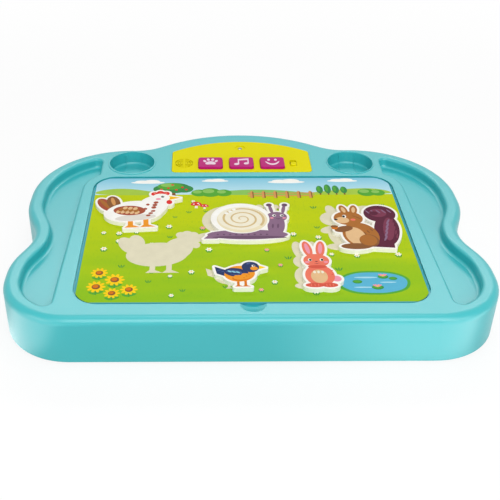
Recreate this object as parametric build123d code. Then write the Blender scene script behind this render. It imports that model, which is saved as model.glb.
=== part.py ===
"""A child's learning desk: a waisted shell with trays, cups, a picture card, loose pieces and a sound panel.

The frame has +X to the right, +Y to the back and +Z up, with the origin on the table under the middle of
the desk. All sizes are in millimetres.
"""
from build123d import *
from math import cos, radians, sqrt, tan
import os

# Overall shape
deck_height = 47.0
foot_stand = 2.0

# Plan outline of the right half, with places as shares of the depth from the front edge
front_corner_radius = 60.0
front_lobe_share = 0.2508
front_lobe_radius = 70.0
waist_inset_share = 0.5449
waist_share = 0.3834
waist_radius = 50.0
back_lobe_inset = 0.5
back_lobe_share = 0.5218
back_lobe_radius = 80.0
back_corner_radius = 94.0
valley_radius = 45.0
hump_rise = 36.3
hump_radius = 146.4
hump_slope_degrees = 33.0
edge_fill_share = 0.98
sharp_turn_share = 0.1

# Shell walls
shell_wall = 2.5
deck_thickness = 2.5
top_edge_radius = 7.0
skirt_edge_radius = 0.8
cut_overrun = 5.0

# Picture card and its recess
card_width = 297.0
card_depth = 210.0
card_thickness = 2.0
card_corner_radius = 21.0
card_front_border = 22.1
card_drop = 0.7
card_gap = 1.6
notch_reach = 11.0
notch_dip = 3.0
notch_rim_radius = 1.0

# Side trays
tray_rim = 14.5
tray_ledge = 11.3
tray_flare = 4.7
tray_depth = 10.5
tray_width = 35.6
tray_front_border = 20.5
tray_end_lap = 3.6
tray_corner_radius = 6.0
tray_floor_round = 3.0
tray_fill_share = 0.45
tray_rim_radius = 3.0

# Pen cups
cup_side_step = 4.8
cup_side_gap = 7.0
cup_front_gap = 5.75
cup_back_gap = 9.85
cup_depth = 13.0
cup_floor_radius = 2.5
cup_lip_width = 1.7
cup_lip_height = 0.8
cup_lip_radius = 0.6
cup_rib_share = 0.7
cup_rib_width = 1.0
cup_rib_height = 0.6

# Panel fascia
panel_depth = 68.5
panel_side_border = 28.05
panel_front_gap = 8.3
panel_margin = 21.9
panel_corner_radius = 4.5
fascia_thickness = 2.5
fascia_stand = 0.8
fascia_gap = 0.25
fascia_edge_radius = 0.7
shelf_width = 1.6
shelf_thickness = 2.5
clip_width = 6.0
clip_thickness = 1.2
clip_barb = 0.8
clip_gap = 0.2
clip_tip = 2.2
clip_bottom_inset = 9.0
clip_side_share = 0.845
clip_arc_degrees = 17.0

# Push buttons
button_pitch = 32.3
button_width = 25.3
button_depth = 22.0
button_corner_radius = 3.0
button_edge_radius = 1.0
button_border = 5.5
button_stand = 2.6
button_gap = 0.35
button_wall = 1.6
button_flange = 1.2
button_flange_thickness = 1.5
button_post_radius = 4.0
flange_gap = 0.1
dome_height = 5.0
dome_base_radius = 7.0
dome_wall = 0.9
dome_top_thickness = 1.4

# Control board
board_left_gap = 0.55
board_right_inset = 8.0
board_back = 36.0
board_front = 2.5
board_tongue_width = 18.0
board_tongue_end = 8.0
board_thickness = 1.6
board_boss_radius = 2.5
board_boss_step = 7.7
board_boss_inset = 3.5
board_side_boss_inset = 8.0
board_screw_length = 8.0
board_screw_radius = 1.0
board_head_radius = 1.9
board_head_height = 1.4
screw_gap = 0.05
chip_width = 10.0
chip_height = 1.6

# Power switch
switch_side_inset = 18.5
switch_from_panel = 18.5
switch_travel = 5.5
knob_width = 6.2
knob_length = 6.5
knob_stand = 1.2
knob_corner_radius = 1.5
knob_edge_radius = 0.6
knob_flange = 1.6
knob_flange_thickness = 1.2
slot_gap = 0.5
switch_body_width = 8.0
switch_body_length = 15.0
switch_body_height = 3.6
lever_width = 2.0
lever_length = 3.0
lever_gap = 0.4
lever_depth = 1.6

# Lamp
lamp_share = 0.7737
lamp_dish_radius = 5.5
lamp_dish_depth = 0.9
lamp_radius = 2.3
lamp_gap = 0.2
lamp_stand = 0.4
lamp_flange = 1.4
lamp_flange_thickness = 1.2
lamp_chip_width = 3.2
lamp_chip_height = 1.9

# Speaker
speaker_side_inset = 13.0
speaker_from_panel = 19.0
grille_radius = 9.4
grille_slot = 1.2
grille_rings = 4
grille_bridge = 1.6
collar_radius = 9.8
collar_wall = 1.2
collar_clear = 0.6
speaker_radius = 13.0
speaker_flange_thickness = 1.0
speaker_lap = 0.8
speaker_wall = 0.8
basket_depth = 4.0
basket_radius = 8.5
magnet_radius = 7.5
magnet_height = 4.0
cone_gap = 0.4
cone_thickness = 0.5
cone_dome_radius = 3.0
terminal_width = 9.0
terminal_length = 3.0
terminal_share = 0.25
speaker_lead_radius = 0.6
speaker_lead_drop = 8.0
speaker_lead_spacing = 1.8
speaker_lead_bend = 3.0

# Base cover
base_thickness = 2.5
base_gap = 0.3
boss_radius = 4.0
boss_screw_depth = 12.0
case_screw_radius = 1.4
case_head_radius = 2.8
case_head_height = 1.3
case_head_gap = 0.4
head_recess = 1.5
case_hole_gap = 0.3
back_boss_inset = 9.0
panel_boss_gap = 8.0
panel_boss_rise = 13.0
ledge_boss_inset = 5.5
ledge_boss_shares = (-0.31, 0.214)
front_boss_share = 0.337
front_boss_inset = 11.7

# Rubber feet
foot_radius = 8.0
foot_seat = 1.2
foot_gap = 0.2
foot_edge_radius = 0.6
front_foot_side = 52.0
front_foot_length = 45.0
back_foot_side = 45.0
back_foot_share = 0.7147
middle_foot_inset = 23.0
hump_foot_inset = 33.0

# Battery bay
cell_count = 3
cell_radius = 7.25
cell_length = 50.5
cell_nub_length = 1.5
cell_nub_radius = 2.75
cell_gap = 0.6
contact_plate = 0.5
contact_width = 11.0
leaf_reach = 6.0
leaf_half_height = 5.0
leaf_thickness = 0.9
leaf_width = 7.0
bay_from_card = 13.0
bay_wall = 2.0
door_lap = 4.0
door_tab = 13.0
door_gap = 0.35
door_land = 4.0
door_corner_radius = 3.0
ledge_ring_thickness = 2.0
door_post_radius = 4.0
door_post_height = 10.0
door_post_inset = 7.0
door_screw_depth = 8.0
lead_radius = 0.8
lead_hole_gap = 0.3
lead_run = 14.0
lead_bend = 10.0
lead_board_inset = 6.0

# Loose pieces
piece_thickness = 4.0
piece_border = 2.2
middle_share = 0.5

# Outlines of the loose pieces in shares of each piece: ovals as (x, y, half width, half depth, turn in
# degrees) and corners as (x, y). A place is (x, y) in shares of the card, from its middle, and a turn.
hen_size = (80.0, 64.0)
hen_place_shares = (-0.34, 0.176, 4.0)
hen_oval_shares = [
    (0.43, 0.44, 0.33, 0.27, 6),
    (0.66, 0.58, 0.15, 0.26, -18),
    (0.76, 0.80, 0.11, 0.13, 0),
    (0.69, 0.93, 0.045, 0.055, 0),
    (0.76, 0.96, 0.045, 0.055, 0),
    (0.83, 0.93, 0.045, 0.055, 0),
    (0.86, 0.67, 0.035, 0.06, 0),
    (0.10, 0.66, 0.08, 0.21, 28),
    (0.19, 0.72, 0.08, 0.19, 10),
]
hen_corner_shares = [
    [(0.85, 0.86), (1.0, 0.79), (0.85, 0.73)],
    [(0.36, 0.24), (0.42, 0.24), (0.42, 0.06), (0.50, 0.0), (0.32, 0.0), (0.36, 0.06)],
    [(0.54, 0.24), (0.60, 0.24), (0.60, 0.06), (0.68, 0.0), (0.50, 0.0), (0.54, 0.06)],
]
snail_size = (80.0, 62.0)
snail_place_shares = (0.0, 0.071, 0.0)
snail_oval_shares = [
    (0.44, 0.57, 0.33, 0.41, 0),
    (0.50, 0.13, 0.46, 0.13, 0),
    (0.84, 0.38, 0.10, 0.30, -6),
    (0.86, 0.62, 0.12, 0.14, 0),
    (0.80, 0.84, 0.022, 0.13, 8),
    (0.95, 0.84, 0.022, 0.13, -10),
    (0.785, 0.965, 0.035, 0.045, 0),
    (0.972, 0.965, 0.035, 0.045, 0),
]
snail_corner_shares = [[(0.10, 0.20), (0.0, 0.02), (0.16, 0.02)]]
squirrel_size = (68.0, 78.0)
squirrel_place_shares = (0.37, 0.033, 0.0)
squirrel_oval_shares = [
    (0.40, 0.29, 0.24, 0.27, 8),
    (0.29, 0.66, 0.20, 0.155, 0),
    (0.25, 0.85, 0.055, 0.11, 10),
    (0.39, 0.85, 0.055, 0.11, -8),
    (0.77, 0.40, 0.17, 0.34, -8),
    (0.74, 0.76, 0.22, 0.19, 0),
    (0.30, 0.055, 0.20, 0.06, 0),
    (0.19, 0.42, 0.13, 0.06, 18),
]
squirrel_corner_shares = [[(0.45, 0.05), (0.80, 0.02), (0.82, 0.20), (0.55, 0.22)]]
bird_size = (44.0, 37.0)
bird_place_shares = (-0.03, -0.329, 0.0)
bird_oval_shares = [
    (0.48, 0.50, 0.30, 0.31, 12),
    (0.70, 0.76, 0.17, 0.21, 0),
    (0.42, 0.54, 0.24, 0.17, -14),
]
bird_corner_shares = [
    [(0.84, 0.84), (1.0, 0.74), (0.84, 0.66)],
    [(0.28, 0.60), (0.0, 0.78), (0.04, 0.50), (0.26, 0.36)],
    [(0.42, 0.24), (0.47, 0.24), (0.47, 0.05), (0.55, 0.0), (0.38, 0.0), (0.42, 0.05)],
    [(0.56, 0.24), (0.61, 0.24), (0.61, 0.05), (0.69, 0.0), (0.52, 0.0), (0.56, 0.05)],
]
rabbit_size = (34.0, 69.0)
rabbit_place_shares = (0.199, -0.258, 0.0)
rabbit_oval_shares = [
    (0.48, 0.24, 0.37, 0.22, 0),
    (0.46, 0.56, 0.33, 0.145, 0),
    (0.28, 0.82, 0.12, 0.18, 7),
    (0.62, 0.82, 0.12, 0.18, -7),
    (0.88, 0.17, 0.12, 0.06, 0),
    (0.32, 0.04, 0.24, 0.045, 0),
    (0.68, 0.04, 0.20, 0.045, 0),
]
rabbit_corner_shares = []

# Derived levels
deck_under = deck_height - deck_thickness
card_top = deck_height - card_drop
card_bottom = card_top - card_thickness
recess_under = card_bottom - deck_thickness
tray_floor = deck_height - tray_depth
cup_floor = deck_height - cup_depth
fascia_top = deck_height + fascia_stand
fascia_under = fascia_top - fascia_thickness
shelf_under = fascia_under - shelf_thickness
flange_top = fascia_under - flange_gap
button_under = flange_top - button_flange_thickness
board_top = button_under - dome_height
board_under = board_top - board_thickness
speaker_seat = shelf_under - collar_clear
base_top = foot_stand + base_thickness

# Derived plan sizes
desk_width = card_width + 2 * (card_gap + tray_ledge + tray_width + tray_rim)
desk_depth = card_front_border + card_depth + card_gap + panel_front_gap + panel_depth + panel_margin
waist_width = desk_width - 2 * waist_inset_share * tray_width
back_lobe_width = desk_width - 2 * back_lobe_inset
tray_waist = tray_width * (1 - waist_inset_share)
tray_floor_radius = min(tray_floor_round, tray_fill_share * tray_waist)
panel_width = 2 * (button_pitch + button_width / 2 + panel_side_border)
board_left = button_pitch + button_width / 2 + board_left_gap
board_right = panel_width / 2 - board_right_inset
lamp_from_panel = lamp_share * panel_depth
board_tongue_length = lamp_from_panel + board_tongue_end - board_back

# Derived places
front_y = -desk_depth / 2
back_y = desk_depth / 2
lobe_back_y = back_y - hump_rise
hump_y = back_y - hump_radius
card_y = front_y + card_front_border + card_depth / 2
recess_half_width = card_width / 2 + card_gap
recess_half_depth = card_depth / 2 + card_gap
panel_y = card_y + recess_half_depth + panel_front_gap
panel_half_width = panel_width / 2
tray_end_x = recess_half_width - tray_end_lap
cup_x = (panel_half_width + tray_end_x) / 2 + cup_side_step
cup_deep = lobe_back_y - card_y - recess_half_depth - cup_front_gap - cup_back_gap
cup_wide = tray_end_x - panel_half_width - 2 * cup_side_gap
cup_radius = min(cup_deep, cup_wide) / 2
cup_y = lobe_back_y - cup_back_gap - cup_radius
button_y = panel_y + button_border + button_depth / 2
switch_x = panel_half_width - switch_side_inset
switch_y = panel_y + switch_from_panel
lamp_y = panel_y + lamp_from_panel
speaker_x = speaker_side_inset - panel_half_width
speaker_y = panel_y + speaker_from_panel
bay_y = card_y + bay_from_card
cell_pitch = 2 * cell_radius + cell_gap
bay_half_length = (cell_length + 2 * contact_plate + leaf_reach) / 2
bay_half_width = (cell_count * cell_pitch + cell_gap) / 2
cell_z = base_top + cell_gap + cell_radius
bay_ceiling = cell_z + cell_radius + cell_gap


def block(width, depth, low, high, x=0, y=0):
    """A box between two levels, centred in plan on (x, y)."""
    return Pos(x, y, low) * extrude(Rectangle(width, depth), high - low)


def rod(radius, low, high, x=0, y=0):
    """An upright cylinder between two levels."""
    return Pos(x, y, low) * extrude(Circle(radius), high - low)


def slab(face, low, high):
    """A plan face extruded between two levels."""
    return Pos(0, 0, low) * extrude(face, high - low)


def revolved(points, x=0, y=0):
    """A solid of revolution about an upright axis, from (radius, level) points."""
    profile = make_face(Polyline(*[(radius, 0, level) for radius, level in points], close=True))
    return Pos(x, y, 0) * revolve(profile, Axis.Z)


def group(solids):
    """Separate solids kept together as one node."""
    return Compound(children=[piece for solid in solids for piece in solid.solids()])


def fitted_radii(points, radii):
    """Corner radii, drawn in where two neighbouring corners would need more than their shared edge."""
    count = len(points)
    steps = [points[(i + 1) % count] - points[i] for i in range(count)]
    turns = [steps[i - 1].get_angle(steps[i]) for i in range(count)]
    reaches = [radius * tan(radians(turn / 2)) for radius, turn in zip(radii, turns)]
    pairs = [reaches[i] + reaches[(i + 1) % count] for i in range(count)]
    room = [edge_fill_share * step.length / pair for step, pair in zip(steps, pairs)]
    return [radius * min(1, room[i - 1], room[i]) for i, radius in enumerate(radii)]


def rounded_face(corners, inset):
    """A face from (x, y, radius) corners in anticlockwise order, with every side drawn in by the inset."""
    points = [Vector(x, y) for x, y, radius in corners]
    radii = fitted_radii(points, [radius for x, y, radius in corners])
    normals = [(points[i] - points[i - 1]).normalized().rotate(Axis.Z, 90) for i in range(len(points))]
    inner_points = []
    inner_radii = []
    for i, point in enumerate(points):
        before = normals[i]
        after = normals[(i + 1) % len(points)]
        inner_points.append(point + (before + after) * (inset / (1 + before.dot(after))))
        convex = before.cross(after).Z > 0
        inner_radii.append(radii[i] - inset if convex else radii[i] + inset)
    return make_face(FilletPolyline(*inner_points, radius=inner_radii, close=True))


def desk_outline(inset=0):
    """The desk's plan: straight front, waisted sides and a rounded hump at the back."""
    slope = radians(hump_slope_degrees)
    valley_x = (hump_rise + hump_radius * (1 / cos(slope) - 1)) / tan(slope)
    right = [
        (desk_width / 2, front_y, front_corner_radius),
        (desk_width / 2, front_y + front_lobe_share * desk_depth, front_lobe_radius),
        (waist_width / 2, front_y + waist_share * desk_depth, waist_radius),
        (back_lobe_width / 2, front_y + back_lobe_share * desk_depth, back_lobe_radius),
        (back_lobe_width / 2, lobe_back_y, back_corner_radius),
        (valley_x, lobe_back_y, valley_radius),
    ]
    hump = [(0, hump_y + hump_radius / cos(slope), hump_radius)]
    left = [(-x, y, radius) for x, y, radius in reversed(right)]
    return rounded_face(right + hump + left, inset)


def card_face(grow=0):
    """The card's plan, grown for its recess and the ledge around it."""
    return Pos(0, card_y) * RectangleRounded(
        card_width + 2 * grow, card_depth + 2 * grow, card_corner_radius + grow
    )


def sharp_uprights(solid):
    """The upright edges where two sides of a solid meet at an angle."""
    sharp = []
    for edge in solid.edges().filter_by(Axis.Z):
        sides = [face for face in solid.faces() if edge in face.edges()]
        first, second = [face.normal_at(edge.center()) for face in sides]
        if first.cross(second).length > sharp_turn_share:
            sharp.append(edge)
    return sharp


def tray_block(side, low, high, grow=0):
    """One tray's space between two levels: along the rim outside, along the card's ledge inside."""
    inside = desk_outline(tray_rim - grow)
    ledge_x = recess_half_width + tray_ledge - grow
    end_x = tray_end_x - grow
    reach = desk_width / 2
    front = front_y + tray_front_border - grow
    corner_y = card_y + card_depth / 2 - card_corner_radius
    inner = [(reach, back_y), (ledge_x, back_y), (ledge_x, corner_y), (ledge_x + tray_flare, front)]
    beside = make_face(Polyline(*inner, (reach, front), close=True))
    behind = Pos((end_x + reach) / 2, (corner_y + back_y) / 2) * Rectangle(reach - end_x, back_y - corner_y)
    plan = (inside & (beside + behind)) - card_face(card_gap + tray_ledge - grow)
    solid = slab(plan, low, high)
    solid = fillet(sharp_uprights(solid), tray_corner_radius + grow)
    return solid if side > 0 else mirror(solid, Plane.YZ)


def notch_ball(grow=0):
    """The ball that leaves the thumb notch, a shallow dip that is deepest at the card's edge."""
    radius = (notch_reach**2 + notch_dip**2) / (2 * notch_dip)
    place = Pos(0, card_y - recess_half_depth, deck_height + radius - notch_dip)
    return place * Rot(90, 0, 0) * Sphere(radius + grow)


def panel_face(inset=0):
    """The panel's plan: a straight front and sides under an arc that follows the hump."""
    radius = hump_radius - panel_margin - inset
    height = hump_y + radius - panel_y
    sides = Pos(0, panel_y + inset + height / 2) * Rectangle(panel_width - 2 * inset, height)
    plan = sides & Pos(0, hump_y) * Circle(radius)
    return fillet(plan.vertices(), panel_corner_radius - min(inset, shelf_width))


def floor_edges(solid):
    """The lowest edges of a solid."""
    return solid.edges().group_by(Axis.Z)[0]


def top_edges(solid):
    """The highest edges of a solid."""
    return solid.edges().group_by(Axis.Z)[-1]


def case_boss_places():
    """Where the screws join the base cover to the shell."""
    places = [(0, back_y - back_boss_inset)]
    for side in (-1, 1):
        places.append((side * (panel_half_width + panel_boss_gap), panel_y + panel_boss_rise))
        places.append((side * front_boss_share * card_width, front_y + front_boss_inset))
        for share in ledge_boss_shares:
            places.append((side * (recess_half_width + ledge_boss_inset), card_y + share * card_depth))
    return places


def make_cup(side):
    """One cup's liner, its raised lip and the hollow that is cut from them, with its ribs."""
    x = side * cup_x
    liner = rod(cup_radius + shell_wall, cup_floor - shell_wall, deck_under, x, cup_y)
    lip = rod(cup_radius + cup_lip_width, deck_under, deck_height + cup_lip_height, x, cup_y)
    lip = fillet(top_edges(lip), cup_lip_radius)
    hollow = rod(cup_radius, cup_floor, deck_height + cut_overrun, x, cup_y)
    hollow = fillet(floor_edges(hollow), cup_floor_radius)
    core = rod(cup_radius - cup_rib_height, cup_floor + cup_rib_height, deck_height + cut_overrun, x, cup_y)
    for rib_side in (-1, 1):
        rib_x = x + rib_side * cup_rib_share * cup_radius / 2
        rib = block(cup_rib_width, 2 * cup_radius, cup_floor - shell_wall, deck_under, rib_x, cup_y)
        hollow -= rib - core
    return liner + lip, hollow


def soften_notch(shell):
    """The shell with the edge of its thumb notch rounded over."""
    rims = shell.faces().sort_by(Axis.Z)[-1].inner_wires()
    notch_rim = rims.sort_by_distance((0, card_y - recess_half_depth, deck_height))[0]
    return fillet(notch_rim.edges(), notch_rim_radius)


def make_shell():
    """The teal moulding: skirt and deck, with the liners of everything that is sunk into it."""
    outer = slab(desk_outline(), foot_stand, deck_height)
    outer = fillet(top_edges(outer), top_edge_radius)
    outer = fillet(floor_edges(outer), skirt_edge_radius)
    cavity = slab(desk_outline(shell_wall), foot_stand - cut_overrun, deck_under)
    shell = outer - fillet(top_edges(cavity), top_edge_radius - shell_wall)
    for side in (-1, 1):
        shell += tray_block(side, tray_floor - shell_wall, deck_under, shell_wall)
    shell += slab(card_face(card_gap + shell_wall), recess_under, deck_under)
    below_deck = block(card_width, card_depth, base_top, deck_under, 0, card_y - recess_half_depth)
    shell += notch_ball(deck_thickness) & below_deck
    shell += slab(panel_face(-shell_wall), shelf_under, deck_under)
    for x, y in case_boss_places():
        shell += rod(boss_radius, base_top, deck_under, x, y)
    for side in (-1, 1):
        hollow = tray_block(side, tray_floor, deck_height + cut_overrun)
        shell -= fillet(floor_edges(hollow), tray_floor_radius)
    rims = shell.faces().sort_by(Axis.Z)[-1].inner_wires()
    shell = fillet([edge for rim in rims for edge in rim.edges()], tray_rim_radius)
    for side in (-1, 1):
        liner, hollow = make_cup(side)
        shell = shell + liner - hollow
    shell = soften_notch(shell - notch_ball())
    shell -= slab(card_face(card_gap), card_bottom, deck_height + cut_overrun)
    shell -= slab(panel_face(), fascia_under, deck_height + cut_overrun)
    shell -= slab(panel_face(shelf_width), shelf_under - cut_overrun, deck_height)
    for x, y in case_boss_places():
        pilot_top = base_top + boss_screw_depth
        shell -= rod(case_screw_radius + screw_gap, base_top - cut_overrun, pilot_top, x, y)
    return shell


def make_card():
    """The picture card, lying on the recess floor."""
    return slab(card_face(), card_bottom, card_top)


def clip():
    """One snap clip at the origin: a leg under the fascia with a barb that points along +X."""
    hook = shelf_thickness + clip_gap
    leg = [
        (-clip_thickness, 0),
        (0, 0),
        (0, -hook),
        (clip_barb, -hook),
        (0, -hook - clip_tip),
        (-clip_thickness, -hook - clip_tip),
    ]
    profile = make_face(Polyline(*[(x, 0, z) for x, z in leg], close=True))
    return Pos(-clip_gap, 0, fascia_under) * extrude(profile, clip_width / 2, both=True)


def fascia_clips():
    """The clips around the shelf: two on each of the front, the sides and the arc."""
    window_x = panel_half_width - shelf_width
    window_y = panel_y + shelf_width
    window_radius = hump_radius - panel_margin - shelf_width
    side_top = hump_y + sqrt((hump_radius - panel_margin) ** 2 - panel_half_width**2)
    side_y = panel_y + clip_side_share * (side_top - panel_y)
    front_x = panel_half_width - clip_bottom_inset
    clips = []
    for side, turn in ((-1, 180), (1, 0)):
        clips.append(Pos(side * front_x, window_y) * Rot(0, 0, -90) * clip())
        clips.append(Pos(side * window_x, side_y) * Rot(0, 0, turn) * clip())
        arc_turn = Rot(0, 0, 90 - side * clip_arc_degrees)
        clips.append(Pos(0, hump_y) * arc_turn * Pos(window_radius, 0) * clip())
    return clips


def board_boss_places():
    """Where the control board is screwed to the fascia."""
    back = panel_y + board_back - board_boss_inset
    front = panel_y + board_front + board_boss_inset
    boss_x = button_pitch + board_boss_step
    return [(-boss_x, back), (boss_x, back), (board_right - board_side_boss_inset, front)]


def grille():
    """The speaker's slots: rings that are broken by two bridges."""
    pitch = grille_radius / grille_rings
    slots = Sketch()
    for ring in range(grille_rings):
        outer = pitch * (ring + 1)
        slots += Circle(outer) - Circle(outer - grille_slot)
    slots -= Rectangle(2 * grille_radius, grille_bridge)
    slots -= Rectangle(grille_bridge, 2 * grille_radius)
    return Pos(speaker_x, speaker_y) * slots


def make_fascia():
    """The yellow panel plate, with openings, clips, speaker collar and board bosses."""
    fascia = slab(panel_face(fascia_gap), fascia_under, fascia_top)
    fascia = fillet(top_edges(fascia), fascia_edge_radius)
    cuts = [slab(button_plan(x, button_gap), fascia_under - cut_overrun, fascia_top + cut_overrun)
            for x in button_places()]
    slot_length = knob_length + switch_travel + 2 * slot_gap
    slot = RectangleRounded(knob_width + 2 * slot_gap, slot_length, knob_corner_radius + slot_gap)
    cuts.append(slab(Pos(switch_x, switch_y) * slot, fascia_under - cut_overrun, fascia_top + cut_overrun))
    cuts.append(rod(lamp_dish_radius, fascia_top - lamp_dish_depth, fascia_top + cut_overrun, 0, lamp_y))
    cuts.append(rod(lamp_radius + lamp_gap, fascia_under - cut_overrun, fascia_top, 0, lamp_y))
    cuts.append(slab(grille(), fascia_under - cut_overrun, fascia_top + cut_overrun))
    for cut in cuts:
        fascia -= cut
    collar = Circle(collar_radius + collar_wall) - Circle(collar_radius)
    fascia += slab(Pos(speaker_x, speaker_y) * collar, speaker_seat, fascia_under)
    for x, y in board_boss_places():
        boss = rod(board_boss_radius, board_top, fascia_under, x, y)
        pilot_top = board_under + board_screw_length
        fascia += boss - rod(board_screw_radius + screw_gap, board_top - cut_overrun, pilot_top, x, y)
    for piece in fascia_clips():
        fascia += piece
    return fascia


def button_places():
    """The three buttons' X places, left to right."""
    return [-button_pitch, 0, button_pitch]


def button_plan(x, grow=0):
    """One button's plan, grown for its opening or its flange."""
    plan = RectangleRounded(button_width + 2 * grow, button_depth + 2 * grow, button_corner_radius + grow)
    return Pos(x, button_y) * plan


def make_button(x):
    """A hollow cap with a flange under the fascia and a post over its dome."""
    top = fascia_top + button_stand
    cap = slab(button_plan(x), button_under, top)
    cap = fillet(top_edges(cap), button_edge_radius)
    cap += slab(button_plan(x, button_flange), button_under, flange_top)
    cap -= slab(button_plan(x, -button_wall), button_under - cut_overrun, top - button_wall)
    return cap + rod(button_post_radius, button_under, top - button_wall, x, button_y)


def make_dome(x):
    """A silicone dome between the board and a button's post."""
    top_radius = button_post_radius
    inner_top = button_under - dome_top_thickness
    points = [
        (dome_base_radius, board_top),
        (dome_base_radius, board_top + dome_wall),
        (top_radius, inner_top),
        (top_radius, button_under),
        (0, button_under),
        (0, inner_top),
        (top_radius - dome_wall, inner_top),
        (dome_base_radius - dome_wall, board_top),
    ]
    return revolved(points, x, button_y)


def make_board():
    """The control board: a strip behind the buttons with a tongue for the lamp."""
    width = board_left + board_right
    depth = board_back - board_front
    middle_x = (board_right - board_left) / 2
    board = block(width, depth, board_under, board_top, middle_x, panel_y + board_front + depth / 2)
    tongue_y = panel_y + board_back + board_tongue_length / 2
    board += block(board_tongue_width, board_tongue_length, board_under, board_top, 0, tongue_y)
    for x, y in board_boss_places():
        hole = board_screw_radius + case_hole_gap
        board -= rod(hole, board_under - cut_overrun, board_top + cut_overrun, x, y)
    return board


def screw(length, radius, head_radius, head_height):
    """A pan-head screw standing on its head at the origin, with its shank upwards."""
    return rod(head_radius, -head_height, 0) + rod(radius, 0, length)


def make_board_screws():
    """The screws under the control board."""
    one = screw(board_screw_length, board_screw_radius, board_head_radius, board_head_height)
    return group([Pos(x, y, board_under) * one for x, y in board_boss_places()])


def make_sound_chip():
    """The sound chip under the board."""
    return block(chip_width, chip_width, board_under - chip_height, board_under, 0, button_y)


def knob_rest_y():
    """The knob's place when it is off, at the front of its slot."""
    return switch_y - switch_travel / 2


def make_switch_knob():
    """The slider in the fascia's slot, with a flange below the fascia."""
    y = knob_rest_y()
    plan = Pos(switch_x, y) * RectangleRounded(knob_width, knob_length, knob_corner_radius)
    knob = slab(plan, flange_top, fascia_top + knob_stand)
    knob = fillet(top_edges(knob), knob_edge_radius)
    flange_width = knob_width + 2 * (slot_gap + knob_flange)
    flange_length = knob_length + 2 * knob_flange
    flange_low = flange_top - knob_flange_thickness
    return knob + block(flange_width, flange_length, flange_low, flange_top, switch_x, y)


def make_switch_lever():
    """The lever between the switch on the board and the knob."""
    low = board_top + switch_body_height - lever_depth + lever_gap
    return block(lever_width, lever_length, low, flange_top - knob_flange_thickness, switch_x, knob_rest_y())


def make_switch_body():
    """The slide switch on the board, with a slot for its lever."""
    top = board_top + switch_body_height
    body = block(switch_body_width, switch_body_length, board_top, top, switch_x, switch_y)
    slot_length = lever_length + switch_travel + 2 * lever_gap
    slot_width = lever_width + 2 * lever_gap
    return body - block(slot_width, slot_length, top - lever_depth, top + cut_overrun, switch_x, switch_y)


def make_lamp_chip():
    """The small lamp on the board's tongue."""
    return block(lamp_chip_width, lamp_chip_width, board_top, board_top + lamp_chip_height, 0, lamp_y)


def make_lamp_lens():
    """A clear rod that carries the light up to a dome in the fascia's dish."""
    low = board_top + lamp_chip_height
    lens = rod(lamp_radius, low, fascia_top + lamp_stand, 0, lamp_y)
    lens = fillet(top_edges(lens), lamp_radius - lamp_gap)
    flange_low = fascia_under - lamp_flange_thickness
    return lens + rod(lamp_radius + lamp_flange, flange_low, fascia_under, 0, lamp_y)


def make_speaker_frame():
    """The speaker's basket, seated on the fascia's collar, with a terminal tab."""
    opening = collar_radius + collar_wall - speaker_lap
    flange_low = speaker_seat - speaker_flange_thickness
    basket_low = flange_low - basket_depth
    points = [
        (speaker_radius, speaker_seat),
        (speaker_radius, flange_low),
        (opening + speaker_wall, flange_low),
        (basket_radius, basket_low),
        (0, basket_low),
        (0, basket_low + speaker_wall),
        (basket_radius - speaker_wall, basket_low + speaker_wall),
        (opening, flange_low),
        (opening, speaker_seat),
    ]
    tab_length = 2 * terminal_length
    tab_y = speaker_y + speaker_radius
    tab = block(terminal_width, tab_length, flange_low, speaker_seat, speaker_x, tab_y)
    tab -= rod(opening, flange_low - cut_overrun, speaker_seat + cut_overrun, speaker_x, speaker_y)
    return revolved(points, speaker_x, speaker_y) + tab


def make_speaker_cone():
    """The paper cone and its dust dome."""
    rim = collar_radius + collar_wall - speaker_lap - cone_gap
    rim_low = speaker_seat - speaker_flange_thickness
    cup_low = rim_low - basket_depth + speaker_wall + cone_gap
    points = [
        (rim, rim_low),
        (rim, rim_low + cone_thickness),
        (cone_dome_radius, cup_low + cone_thickness),
        (0, cup_low + 2 * cone_thickness),
        (0, cup_low),
        (cone_dome_radius, cup_low),
    ]
    return revolved(points, speaker_x, speaker_y)


def make_speaker_magnet():
    """The magnet under the basket."""
    top = speaker_seat - speaker_flange_thickness - basket_depth
    return rod(magnet_radius, top - magnet_height, top, speaker_x, speaker_y)


def lead(points, radius, bend):
    """A round wire along a bent route."""
    route = FilletPolyline(*points, radius=bend)
    section = Plane(origin=route @ 0, z_dir=route % 0) * Circle(radius)
    return sweep(section, route)


def make_speaker_leads():
    """Two short wires from the speaker's tab down and up to the board."""
    high = speaker_seat - speaker_flange_thickness
    low = board_under - speaker_lead_drop
    leads = []
    for side in (-1, 1):
        y = speaker_y + speaker_radius + terminal_length / 2 + side * speaker_lead_spacing / 2
        start_x = speaker_x - side * terminal_share * terminal_width
        end_x = -board_left + speaker_lead_spacing - side * speaker_lead_radius
        points = [(start_x, y, high), (start_x, y, low), (end_x, y, low), (end_x, y, board_under)]
        leads.append(lead(points, speaker_lead_radius, speaker_lead_bend))
    return group(leads)


def foot_places():
    """Where the rubber feet sit under the base cover."""
    places = [(0, front_y + middle_foot_inset), (0, back_y - hump_foot_inset)]
    for side in (-1, 1):
        places.append((side * (desk_width / 2 - front_foot_side), front_y + front_foot_length))
        places.append((side * (desk_width / 2 - back_foot_side), front_y + back_foot_share * desk_depth))
    return places


def make_feet():
    """The rubber feet, seated in shallow pockets."""
    foot = rod(foot_radius, 0, foot_stand + foot_seat)
    foot = fillet(floor_edges(foot), foot_edge_radius)
    return group([Pos(x, y) * foot for x, y in foot_places()])


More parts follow.
